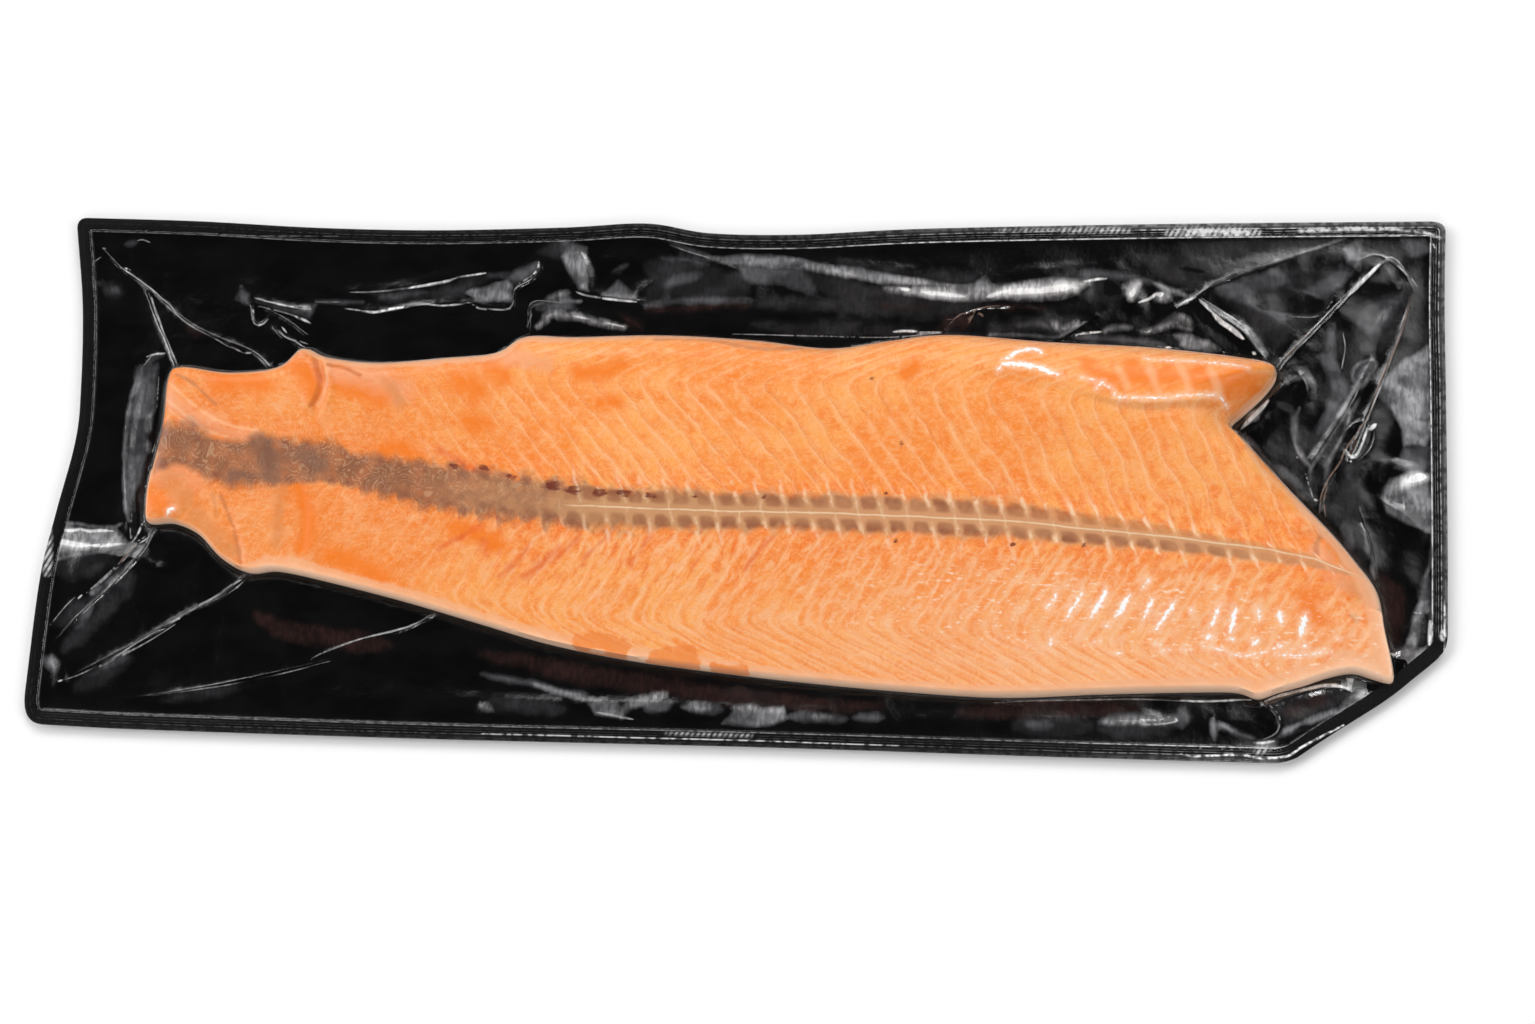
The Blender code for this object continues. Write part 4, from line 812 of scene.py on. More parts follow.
def times(tree, *values):
    """The product of several shares."""
    made = values[0]
    for value in values[1:]:
        made = maths(tree, "MULTIPLY", made, value)
    return made


def blended(tree, share, first, second):
    """The second colour laid over the first by a share."""
    made = node(tree, "ShaderNodeMix", {0: share}, data_type="RGBA")
    for socket, colour in ((made.inputs[6], first), (made.inputs[7], second)):
        if isinstance(colour, bpy.types.NodeSocket):
            tree.links.new(colour, socket)
        else:
            socket.default_value = linear(colour)
    return made.outputs[2]


def speckle(tree, place, size_mm, detail=2.0, stretch=None):
    """Noise with lumps of a real size in millimetres."""
    if stretch:
        place = node(tree, "ShaderNodeMapping", {"Vector": place, "Scale": stretch}).outputs[0]
    return node(tree, "ShaderNodeTexNoise", {"Vector": place, "Scale": 1000.0 / size_mm,
                                             "Detail": detail}).outputs["Fac"]


def near_whole(tree, value, shift=0.0):
    """How far a count is from the nearest whole number, with the count shifted first."""
    part = maths(tree, "FRACT", maths(tree, "ADD", value, shift + 0.5))
    return maths(tree, "ABSOLUTE", maths(tree, "SUBTRACT", part, 0.5))


def edge_lift(distance):
    """How high the pack's edge curls up, at each distance in from it."""
    return RIM_LIFT * smooth(1 - distance / RIM_LIFT_REACH)


# The corner that is folded under: along the slanting edge, then back round its hidden end
flap_line = np.vstack([spline(FOLDED_EDGE + [(309, -66)], 2.0),
                       spline([(307, -63), (285, -60.5), (266, -57.5)], 3.0),
                       spline([(261.5, -60), (258.5, -76), (250, -100), (244, -114)], 3.0)])
edge = pack_edge()
inner_edge = offset_loop(edge, SEAL_WIDTH - 0.5)
fish_line = even_loop(spline(FILLET_PLAN, 2.0, closed=True), FISH_STEP)

# Rows of places along each crease, painted streak of light and painted facet
crest_places = []
for table, offsets in ((PINCHES, (0.0, -0.5, 0.5, -1.0, 1.0)), (SWELLS, (0.0, -0.8, 0.8))):
    for *_, path in table.values():
        crest_places += [(line, CREASE_SPACING) for line in alongside(path, offsets)]
for half, path in (band for group in PAINTED_SHEEN.values() for band in group if band[0] < 1.2):
    if half:
        sides = (0.0, -half - 0.4, half + 0.4)
        crest_places += [(line, STREAK_SPACING) for line in alongside(path, sides, 1.0)]
    else:
        crest_places += [(line, FACET_SPACING) for line in alongside(path + path[:1], (0.0,), 2.0)]
bare, covered = (hex_grid(pitch, *PLAN_CORNERS) for pitch in (BARE_PITCH, FISH_PITCH))
bare = bare[~inside(fish_line, *bare.T)]
covered = covered[inside(fish_line, *covered.T)]
# First come, first kept: the edges, those rows, rows beside the edges, then the two grids
groups = [(inner_edge, 0.5), (fish_line, 0.5)] + crest_places
groups += [(offset_loop(fish_line, d), 0.35) for d in (-0.4, -0.9, -1.5, -2.4, 0.6, 1.4, 2.6, 5.0)]
groups += [(offset_loop(edge, SEAL_WIDTH + d), 0.5) for d in (0.2, 0.9, 1.8)]
groups += [(bare, 1.2), (covered, 1.4)]
plan, plan_faces = triangles(thinned(groups), inner_edge)

px, py = plan.T
from_edge = distance_to(closed_line(edge), px, py, EDGE_REACH)[0]
from_fish = distance_to(closed_line(fish_line), px, py, EDGE_REACH)[0]
plan_on_fish = inside(fish_line, px, py) | (from_fish < 0.01)
clear = np.where(plan_on_fish, 0.0, from_fish)
swells, pinches = raised(SWELLS, px, py), raised(PINCHES, px, py)
ripple = grain(px, py, 16.0, 3.0) * 0.20 + grain(px, py, 4.0, 8.0, 2) * 0.06

web_top = WEB_THICKNESS + edge_lift(from_edge) * smooth(clear / LIFT_FADE)
bead = SEAL_BEAD * np.clip(1 - np.abs(from_edge - SEAL_WIDTH - 0.4) / 0.6, 0.0, 1.0)
loose = smooth((from_edge - SEAL_WIDTH - LOOSE_START) / LOOSE_FADE)
gathered = (PUFF + ripple + swells + crumple(px, py) + pinches) * loose
web_top += bead + gathered * smooth(clear / HELD_FADE)
on_flap = inside(offset_loop(flap_line, -1.5), px, py)
web_low = np.maximum(web_top - WEB_THICKNESS, np.where(on_flap, 0.5, 0.0))
bottom_web = sheet("bottom_web", plan, plan_faces, web_top, web_low)
# Painted reflections and painted shade: each level of PAINTED_SHEEN is kept on the web for its colour
for name, bands in PAINTED_SHEEN.items():
    keep_values(bottom_web, -BAND_REACH, **{name: banded(bands, px, py, 0.65)})


def seal_gleam(x, y):
    """How strong the rim's and bead's painted highlights are: least at the left, most at the back right."""
    back = np.interp(x, [-310, -150, 40, 110, 200, 310], [0.01, 0.06, 0.18, 0.45, 0.9, 0.6])
    front = np.interp(x, [-310, -260, -200, 150, 235, 246], [0.03, 0.06, 0.09, 0.12, 0.6, 0.0])
    ends = np.maximum(smooth((y - 92) / 8) * back, smooth((-y - 92) / 8) * front)
    sides = np.maximum(0.5 * smooth((x - 288) / 8) * smooth((y + 66) / 6), 0.015 * smooth((-x - 288) / 8))
    return np.maximum(ends, sides)


keep_values(bottom_web, EDGE_REACH, from_edge=from_edge)
keep_values(bottom_web, gleam=seal_gleam(px, py))

# Film of several layers, dyed black: deep black with a sharp gloss, broken up by fine crinkles, and with
# painted reflections, painted shade and a painted bead highlight laid into its colour
black_film, tree = new_material("black multilayer film")
place = node(tree, "ShaderNodeTexCoord").outputs["Object"]
crinkle = speckle(tree, place, 2.4, 2.5)
bump = node(tree, "ShaderNodeBump", {"Height": crinkle, "Strength": 0.3, "Distance": 0.0004})
stray = maths(tree, "MULTIPLY", maths(tree, "SUBTRACT", speckle(tree, place, 6.0, 3.0), 0.5), 5.0)
drift = ramp(tree, speckle(tree, place, 20.0, 2.0, (1.0, 1.7, 1.0)), 0.36, 0.62)
combed = speckle(tree, place, 1.7, 3.0, (1.0, 0.35, 1.0))
creased = times(tree, ramp(tree, combed, 0.38, 0.60), ramp(tree, stray, -0.9, 0.7, 0.45, 1.0))
colour = blended(tree, drift, "#050506", "#0B0B0C")
# Each level of painted reflection and painted shade: its colour, how soft its edge is in millimetres and how
# far it strays, how much the fine creases and the slow drift take from it, and its weight
PAINTED_SHEEN_LOOKS = {
    "dim": ("#333234", 2.6, 0.9, 0.3, 0.5, 1.0),
    "brown": ("#34221F", 2.6, 1.1, 0.4, 0.3, 0.9),
    "grey": ("#5D5D60", 1.6, 0.5, 0.3, 0.55, 1.0),
    "ash": ("#9A9A9D", 1.3, 0.4, 0.45, 0.6, 1.0),
    "black": ("#040405", 0.8, 0.35, 0.0, 0.2, 0.95),
    "pool": ("#BDBCBE", 2.0, 0.4, 0.6, 0.45, 0.9),
    "copper": ("#8E766A", 0.25, 0.05, 0.3, 0.0, 0.8),
    "light": ("#BCBBBC", 0.24, 0.04, 0.5, 0.3, 0.9),
    "flare": ("#FFFFFF", 2.4, 0.3, 0.4, 0.0, 1.0),
    "glint": ("#FFFFFF", 0.40, 0.10, 0.45, 0.0, 1.0),
}
for name, (tint, blur, strayed, fine, drifting, weight) in PAINTED_SHEEN_LOOKS.items():
    within = maths(tree, "ADD", attribute(tree, name), maths(tree, "MULTIPLY", stray, strayed))
    share = times(tree, ramp(tree, within, -blur, blur), ramp(tree, creased, 0.0, 1.0, 1 - fine, 1.0),
                  ramp(tree, drift, 0.0, 1.0, 1 - drifting, 1.0), weight)
    colour = blended(tree, share, colour, tint)
# A painted highlight along the seal's bead, as strong as the painted gleam there
off_bead = maths(tree, "ABSOLUTE", maths(tree, "SUBTRACT", attribute(tree, "from_edge"), SEAL_WIDTH + 0.3))
painted_bead_highlight = times(tree, ramp(tree, off_bead, 0.36, 0.1),
               ramp(tree, attribute(tree, "gleam"), 0.0, 0.4, 0.2, 1.0),
               ramp(tree, crinkle, 0.35, 0.6, 0.25, 1.0), 0.9)
colour = blended(tree, painted_bead_highlight, colour, "#F4F4F4")
shader = node(tree, "ShaderNodeBsdfPrincipled", {"Base Color": colour, "Roughness": 0.14,
                                                 "IOR": 1.4, "Normal": bump.outputs[0]})
node(tree, "ShaderNodeOutputMaterial", {"Surface": shader.outputs[0]})
bottom_web.data.materials.append(black_film)
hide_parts("base_web")
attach(bottom_web, "root")

# ---- Sealed rim -----------------------------------------------------------------------------------
# Where the two films are welded between heated ribbed bars: a stiff black band, 6 mm wide, with fine
# ribs along it. It is a closed band between two loops, and Geometry Nodes press the ribs into its top.
RIM_THICKNESS, RIM_STANDS = 0.55, 0.1
RIB_COUNT, RIB_DEPTH = 5.0, 0.018
HATCHES_PER_METRE = 420.0
RIM_ROWS = 24

rim_loops = []
for row in range(RIM_ROWS + 1):
    share = row / RIM_ROWS
    rim_loops.append(edge * (1 - share) + offset_loop(edge, SEAL_WIDTH) * share)
count = len(edge)
rim_verts, rim_share = [], []
for side in (1, 0):
    for row, loop in enumerate(rim_loops):
        lift = edge_lift(distance_to(closed_line(edge), *loop.T, EDGE_REACH)[0])
        high = WEB_THICKNESS + lift + RIM_STANDS - RIM_THICKNESS * (1 - side)
        rim_verts.append(np.column_stack([loop * MM, high * MM]))
        rim_share.append(np.full(count, row / RIM_ROWS if side else -1.0))
rim_faces = []
after = (np.arange(count) + 1) % count
here = np.arange(count)
rows = RIM_ROWS + 1
for row in range(RIM_ROWS):
    a, b = here + row * count, after + row * count
    c, d = here + (row + 1) * count, after + (row + 1) * count
    rim_faces += [np.column_stack([a, b, d]), np.column_stack([a, d, c])]
    a, b, c, d = (v + rows * count for v in (a, b, c, d))
    rim_faces += [np.column_stack([d, b, a]), np.column_stack([c, d, a])]
for row, flip in ((0, False), (RIM_ROWS, True)):
    a, b = here + row * count, after + row * count
    c, d = a + rows * count, b + rows * count
    wall = [np.column_stack([b, a, c]), np.column_stack([b, c, d])]
    rim_faces += [w[:, ::-1] for w in wall] if flip else wall
sealed_rim = mesh_piece("sealed_rim", np.vstack(rim_verts), np.vstack(rim_faces), 40.0)
# Where painted glints on the bars' hatching, painted silver reflections and painted bright or faint
# highlight lines show: half-width and path
RIM_BANDS = {
    "glinting_hatch": [
        (0.3, [(117, 115), (143, 115)]), (1.0, [(143, 115), (174, 115)]), (2.4, [(191, 114), (204, 114),
        (229, 114)]), (2.2, [(-308, -29), (-307, -39), (-306, -49)]), (0.4, [(-19, -114), (0, -114),
        (18, -114)]), (1.8, [(232, -115), (235, -113), (238, -111)])],
    "silver": [
        (0.9, [(247, 115), (269, 116), (288, 116)]), (0.7, [(288, 116), (299, 115), (307, 112)]),
        (1.6, [(196, 114), (211, 114), (226, 114)]), (1.3, [(308, -62), (308, -65)]), (1, [(311, 102),
        (311, 70), (311, 39)])],
    "bright": [
        (0.55, [(195.7, 110.9), (210.9, 111.2), (225.6, 111.4)]), (0.4, [(225.6, 111.4), (243.2, 112.1),
        (262.5, 112.6), (297.7, 113.1), (302.8, 111.5), (305, 107.6)]), (0.18, [(-101.2, -116.6),
        (-65.8, -116.4), (-30.3, -116.4), (16.5, -116.2), (51.9, -116.5), (81.9, -116.6)]),
        (0.45, [(199.9, -116.7), (205.7, -117.6), (224.8, -116.3), (232.7, -117.6), (244.1, -116.5),
        (249.7, -112.7), (258.9, -107.4), (267.3, -102.7)]), (0.25, [(-101.7, -110.1), (-40.3, -107.9),
        (-18.9, -109.6), (20.8, -110.8), (81.7, -111.5)]), (0.3, [(308.7, -48.2), (308.6, -73.9)])],
    "faint": [
        (0.3, [(-184.1, 111), (-232.2, 111.2), (-266.5, 112.4), (-295.7, 112.3), (-300.5, 108.8),
        (-301.3, 103.6), (-299.3, 86.3), (-297.3, 75.9), (-295, 51)])],
}
rim_x, rim_y = np.vstack(rim_verts)[:, :2].T / MM
keep_values(sealed_rim, across=np.concatenate(rim_share), gleam=seal_gleam(rim_x, rim_y))
for name, bands in RIM_BANDS.items():
    keep_values(sealed_rim, -BAND_REACH, **{name: banded(bands, rim_x, rim_y, 0.3)})

ribs = bpy.data.node_groups.new("press ribs", "GeometryNodeTree")
ribs.interface.new_socket("Geometry", in_out="INPUT", socket_type="NodeSocketGeometry")
for name, value in (("Ribs", RIB_COUNT), ("Depth", RIB_DEPTH * MM)):
    ribs.interface.new_socket(name, in_out="INPUT", socket_type="NodeSocketFloat").default_value = value
ribs.interface.new_socket("Finish", in_out="INPUT", socket_type="NodeSocketMaterial")
ribs.interface.new_socket("Geometry", in_out="OUTPUT", socket_type="NodeSocketGeometry")
given = node(ribs, "NodeGroupInput").outputs
share = node(ribs, "GeometryNodeInputNamedAttribute", {"Name": "across"}, data_type="FLOAT").outputs[0]
turns = node(ribs, "ShaderNodeMath", {0: share, 1: given["Ribs"]}, operation="MULTIPLY").outputs[0]
angle = node(ribs, "ShaderNodeMath", {0: turns, 1: 2 * math.pi}, operation="MULTIPLY").outputs[0]
wave = node(ribs, "ShaderNodeMath", {0: angle}, operation="COSINE").outputs[0]
drop = node(ribs, "ShaderNodeMath", {0: wave, 1: given["Depth"]}, operation="MULTIPLY").outputs[0]
on_top = node(ribs, "ShaderNodeMath", {0: share, 1: -0.5}, operation="GREATER_THAN").outputs[0]
push = node(ribs, "ShaderNodeMath", {0: drop, 1: on_top}, operation="MULTIPLY").outputs[0]
offset = node(ribs, "ShaderNodeCombineXYZ", {"Z": push}).outputs[0]
pressed = node(ribs, "GeometryNodeSetPosition", {"Geometry": given["Geometry"], "Offset": offset}).outputs[0]
real = node(ribs, "GeometryNodeRealizeInstances", {"Geometry": pressed}).outputs[0]
coated = node(ribs, "GeometryNodeSetMaterial", {"Geometry": real, "Material": given["Finish"]}).outputs[0]
node(ribs, "NodeGroupOutput", {"Geometry": coated})

# The same film pressed and welded: a little duller, with painted highlight lines, painted glints on the
# hatching of the bars and a painted sheen on its outer part
welded, tree = new_material("welded film, ribbed")
place = node(tree, "ShaderNodeTexCoord").outputs["Object"]
here = node(tree, "ShaderNodeSeparateXYZ", {"Vector": place}).outputs
bump = node(tree, "ShaderNodeBump", {"Height": speckle(tree, place, 1.4), "Strength": 0.2,
                                     "Distance": 0.0003})
gleam = attribute(tree, "gleam")
broken = speckle(tree, place, 2.6, 4.0)
row = maths(tree, "ADD", attribute(tree, "across"), maths(tree, "MULTIPLY", speckle(tree, place, 30.0), 0.08))
# A painted sheen on the outer part of the rim, as strong as the painted gleam there
painted_outer_sheen = times(tree, ramp(tree, row, 0.44, 0.34), ramp(tree, broken, 0.35, 0.6, 0.45, 1.0), gleam, 0.8)
colour = blended(tree, painted_outer_sheen, "#070708", "#6A6869")
# Where each painted highlight line runs, as a share of the rim's width from its outer edge, its width and
# its weight
for stands, width, weight in ((0.10, 0.03, 0.5), (0.22, 0.02, 0.35), (0.47, 0.035, 0.95), (0.68, 0.025, 0.5),
                              (0.84, 0.02, 0.3)):
    off_line = maths(tree, "ABSOLUTE", maths(tree, "SUBTRACT", row, stands))
    painted_line = times(tree, ramp(tree, off_line, width * 1.6, width * 0.5),
                  ramp(tree, broken, 0.38, 0.6, 0.15, 1.0), gleam, weight)
    colour = blended(tree, painted_line, colour, "#E2E2E3")
slanting = maths(tree, "ADD", here["X"], maths(tree, "MULTIPLY", here["Y"], -0.5))
slant = maths(tree, "FRACT", maths(tree, "MULTIPLY", slanting, HATCHES_PER_METRE))
# Painted highlights on the rim: glints on the hatching, silver reflections, bright lines and faint ones
RIM_LOOKS = {
    "glinting_hatch": ("#D8D8D8", 1.2, slant, 0.85),
    "silver": ("#E6E6E6", 0.7, broken, 0.9),
    "faint": ("#5A5A5A", 0.25, broken, 0.9),
    "bright": ("#FFFFFF", 0.3, broken, 0.95),
}
for name, (tint, blur, ragged, weight) in RIM_LOOKS.items():
    shown = times(tree, ramp(tree, attribute(tree, name), -blur, blur),
                  ramp(tree, ragged, 0.36, 0.56, 0.15, 1.0), ramp(tree, broken, 0.3, 0.6, 0.4, 1.0), weight)
    colour = blended(tree, shown, colour, tint)
shader = node(tree, "ShaderNodeBsdfPrincipled", {"Base Color": colour, "Roughness": 0.22,
                                                 "IOR": 1.5, "Normal": bump.outputs[0]})
node(tree, "ShaderNodeOutputMaterial", {"Surface": shader.outputs[0]})


def settled(piece, shaper, **inputs):
    """Turns a piece and its Geometry Nodes into a plain mesh."""
    work = piece.modifiers.new("shape", "NODES")
    work.node_group = shaper
    for item in shaper.interface.items_tree:
        if item.in_out == "INPUT" and item.name in inputs:
            work[item.identifier] = inputs[item.name]
    plain = bpy.data.meshes.new_from_object(piece.evaluated_get(bpy.context.evaluated_depsgraph_get()))
    piece.modifiers.clear()
    piece.data = plain


settled(sealed_rim, ribs, Finish=welded)
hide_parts("base_web")
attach(sealed_rim, "root")

# ---- Folded-under corner --------------------------------------------------------------------------
# The front right corner of the pack, tucked under before it was photographed: a flat flap of the same
# black film under the bottom web, rising to the rim along the fold.
FLAP_THICKNESS = 0.35
FLAP_PITCH = 4.0
# How far the flap stays below the edge's underside, and least clear of the table
FLAP_UNDER, FLAP_CLEAR = 0.12, 0.03
flap_grid = hex_grid(FLAP_PITCH, (240, -118), (312, -55))
flap_grid = flap_grid[inside(flap_line, *flap_grid.T)]
flap_line = even_loop(flap_line, EDGE_STEP)
flap_plan, flap_faces = triangles(thinned([(flap_line, 0.5), (flap_grid, 1.6)]), flap_line)
from_fold = distance_to(closed_line(edge), *flap_plan.T, EDGE_REACH)[0]
flap_top = np.maximum(edge_lift(from_fold) - FLAP_UNDER, FLAP_THICKNESS + FLAP_CLEAR)
corner_flap = sheet("corner_flap", flap_plan, flap_faces, flap_top, flap_top - FLAP_THICKNESS)
# No painted bead highlight, painted streak or painted facet of the film's top shows on the flap
keep_values(corner_flap, EDGE_REACH, from_edge=[])
keep_values(corner_flap, -BAND_REACH, **{name: [] for name in PAINTED_SHEEN})
corner_flap.data.materials.append(black_film)
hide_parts("base_web")
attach(corner_flap, "root")

# ---- Salmon ---------------------------------------------------------------------------------------
# A whole side of raw salmon, skin side down: a thick loin along the back, a brown midline, a thin belly
# and the pale walls between its muscle segments, which bend into a W. One closed mesh with its relief.
FLESH_PITCH = 1.2
LIP = 2.0
BELLY_ROUND = 1.0
WALL_DEPTH = 0.18
FISH_FLOOR = WEB_THICKNESS + LAID_GAP
# Along the fillet: x, and the thickness of loin, midline and belly
THICKNESS = np.array([(-262, 7, 6, 5), (-205, 10, 8.5, 6), (-140, 14, 12, 6.5), (-60, 18, 16, 7),
                      (20, 22, 19, 7.5), (120, 26, 21, 8), (200, 27, 20, 8), (290, 24, 15, 7)], float)
MIDLINE = np.array([(-262, 9), (-205, 3), (-140, -6), (-67, -17), (1, -19), (19, -19), (74, -20), (129, -22),
                    (190, -27), (211, -29), (237, -32), (254, -35), (265, -39), (290, -46)], float)
STRIP_TOP = np.array([(-262, 20), (-243, 20), (-229, 12), (-207, 14), (-176, 11), (-163, 6), (-141, 4),
                      (-118, 0), (-93, -4), (-74, -7), (-40, -10), (18, -11), (84, -12), (128, -14),
                      (190, -22), (250, -32), (270, -40)], float)
STRIP_FOOT = np.array([(-262, -1), (-246, 1), (-234, -6), (-223, -9), (-179, -6), (-161, -10), (-139, -16),
                       (-105, -22), (-81, -24), (-60, -27), (-22, -27), (18, -27), (85, -28), (118, -29),
                       (190, -33), (257, -39), (270, -42)], float)
# How far above and below the midline the walls turn back, which bends them into their W
UPPER_BEND, LOWER_BEND = 58.0, 48.0
# The flesh's own bumps and hollows, in the form of the broad folds; hollows are negative
RELIEF = {
    "tail fold": ("roll", 3.0, 3.0, (-0.6, -2.0, -2.0, -1.2, -0.3),
                  [(-189, 53), (-185, 43), (-183, 35), (-185, 27), (-186, 20)]),
    "tail fold lip": ("roll", 3.0, 2.2, (1.2, 1.5, 1.2, 0.4),
                      [(-186, 55), (-181, 43), (-179, 35), (-181, 27)]),
    "tail bump": ("roll", 4.0, 4.0, (0.6, 0.9), [(-190, 34), (-188, 28)]),
    "tail dent": ("roll", 2.6, 2.6, (-0.3, -1.0, -1.2, -1.0),
                  [(-227, -13), (-222, -23), (-218, -33), (-214, -48)]),
    "gap": ("roll", 3.0, 3.0, (-0.3, -0.6, -0.5), [(-191, -6), (-187, -21), (-187, -36)]),
    "corner bulge": ("dome", 5.5, 5.5, (1.0, 1.4), [(-257, -18), (-250, -20)]),
    "pale tail band": ("roll", 5.0, 4.0, (0.5, 0.8, 0.4), [(-257, 33), (-241, 22), (-216, 14)]),
    "tail wrinkle": ("roll", 1.6, 1.6, (-0.2, -0.5, -0.3),
                     [(-253, 43), (-245, 39), (-238, 33), (-233, 29)]),
    "loin lobe": ("ridge", 26, 1.8, (0.0, 1.4, 2.2, 2.2, 2.2, 2.2),
                  [(152, 35), (171, 30), (187, 29), (199, 30), (214, 30), (219, 22)]),
    "loin edge": ("roll", 9, 7, (0.0, 1.1, 1.1, 0.3), [(100, 44), (122, 45), (145, 40), (168, 34)]),
    "end bulge": ("dome", 5, 5, (0.8, 1.2), [(248, -20), (255, -18)]),
    "end fold": ("roll", 2.0, 2.0, (-0.5, -0.7, -0.2), [(255, -33), (256, -27), (261, -20)]),
    "midline groove": ("roll", 6.0, 6.0, (-0.2, -0.3, -0.5, -0.5, -0.2),
                       [(-255, 8), (-140, -6), (1, -19), (129, -22), (262, -38)]),
}


def across_at(line, x):
    """Where a line given by points stands at each x."""
    return np.interp(x, line[:, 0], line[:, 1])


def summed(folds, x, y):
    """The sum of some folds at each place, hollows being negative."""
    total = np.zeros(x.shape)
    for kind, left, right, heights, path in folds.values():
        d, place, side = distance_to(spline(path, 2.0), x, y, max(left, right))
        share = np.clip(1 - d / np.where(side > 0, left, right), 0.0, 1.0)
        total += np.interp(place, np.linspace(0, 1, len(heights)), heights) * fold_shape(kind, share)
    return total


def flesh_height(x, y, inner):
    """Top of the salmon above the table, from the place and its distance to the fillet's edge."""
    loin, middle, belly = (np.interp(x, THICKNESS[:, 0], THICKNESS[:, k]) for k in (1, 2, 3))
    midline = across_at(MIDLINE, x)
    back = np.interp(x, [-255, -207, -93, 44, 97, 238], [47, 48, 63, 58.5, 65, 52])
    front = np.interp(x, [-261, -212, -6, 124, 287], [-25, -47, -86, -94.5, -84])
    to_back = np.clip((y - midline) / (back - midline), 0.0, 1.0)
    to_front = np.clip((midline - y) / (midline - front), 0.0, 1.0)
    thick = middle + (loin - middle) * smooth(to_back / 0.75)
    thick = thick - (middle - belly) * to_front ** 1.2
    reach = np.where(to_front > 0.3, BELLY_ROUND, 0.75 * thick)
    rounding = np.sqrt(1 - (1 - np.clip(inner / reach, 0.0, 1.0)) ** 2)
    relief = summed(RELIEF, x, y) + grain(x, y, 22.0, 1.0) * 0.3 + grain(x, y, 6.0, 5.0, 2) * 0.08
    above = LIP + (thick - LIP) * rounding + relief * smooth(inner / 5.0 + 0.1)
    return FISH_FLOOR + np.maximum(above, LIP * 0.7)


def lesser(first, second, blend):
    """The smaller of two values, rounded off where they meet."""
    low = np.minimum(first, second)
    return low - blend * np.log(np.exp(-(first - low) / blend) + np.exp(-(second - low) / blend))


def segment_phase(x, y):
    """Counts the muscle segments along the fillet: each pale wall lies on a whole number.

    Gives the count at each place, and the count on the midline level with it."""
    reach = y - across_at(MIDLINE, x)
    above, below = np.maximum(reach, 0), np.maximum(-reach, 0)
    upper, lower, turned = np.interp(x, [-120, 0, 150], [0.95, 0.85, 0.5]), 0.6, 2.2
    shift_up = lesser(above * upper, UPPER_BEND * (upper + turned) - above * turned, 6.0)
    shift_down = lesser(below * lower, LOWER_BEND * (lower + turned) - below * turned, 3.5)
    straight = x + np.where(reach > 0, shift_up, shift_down)
    marks = np.array([-320, -200, -100, 0, 100, 200, 340], float)
    pitch = np.array([8.2, 8.8, 9.6, 10.3, 10.5, 10.4, 10.0])
    counted = np.concatenate([[0.0], np.cumsum(np.diff(marks) / ((pitch[1:] + pitch[:-1]) / 2))])
    return np.interp(straight, marks, counted), np.interp(x, marks, counted)
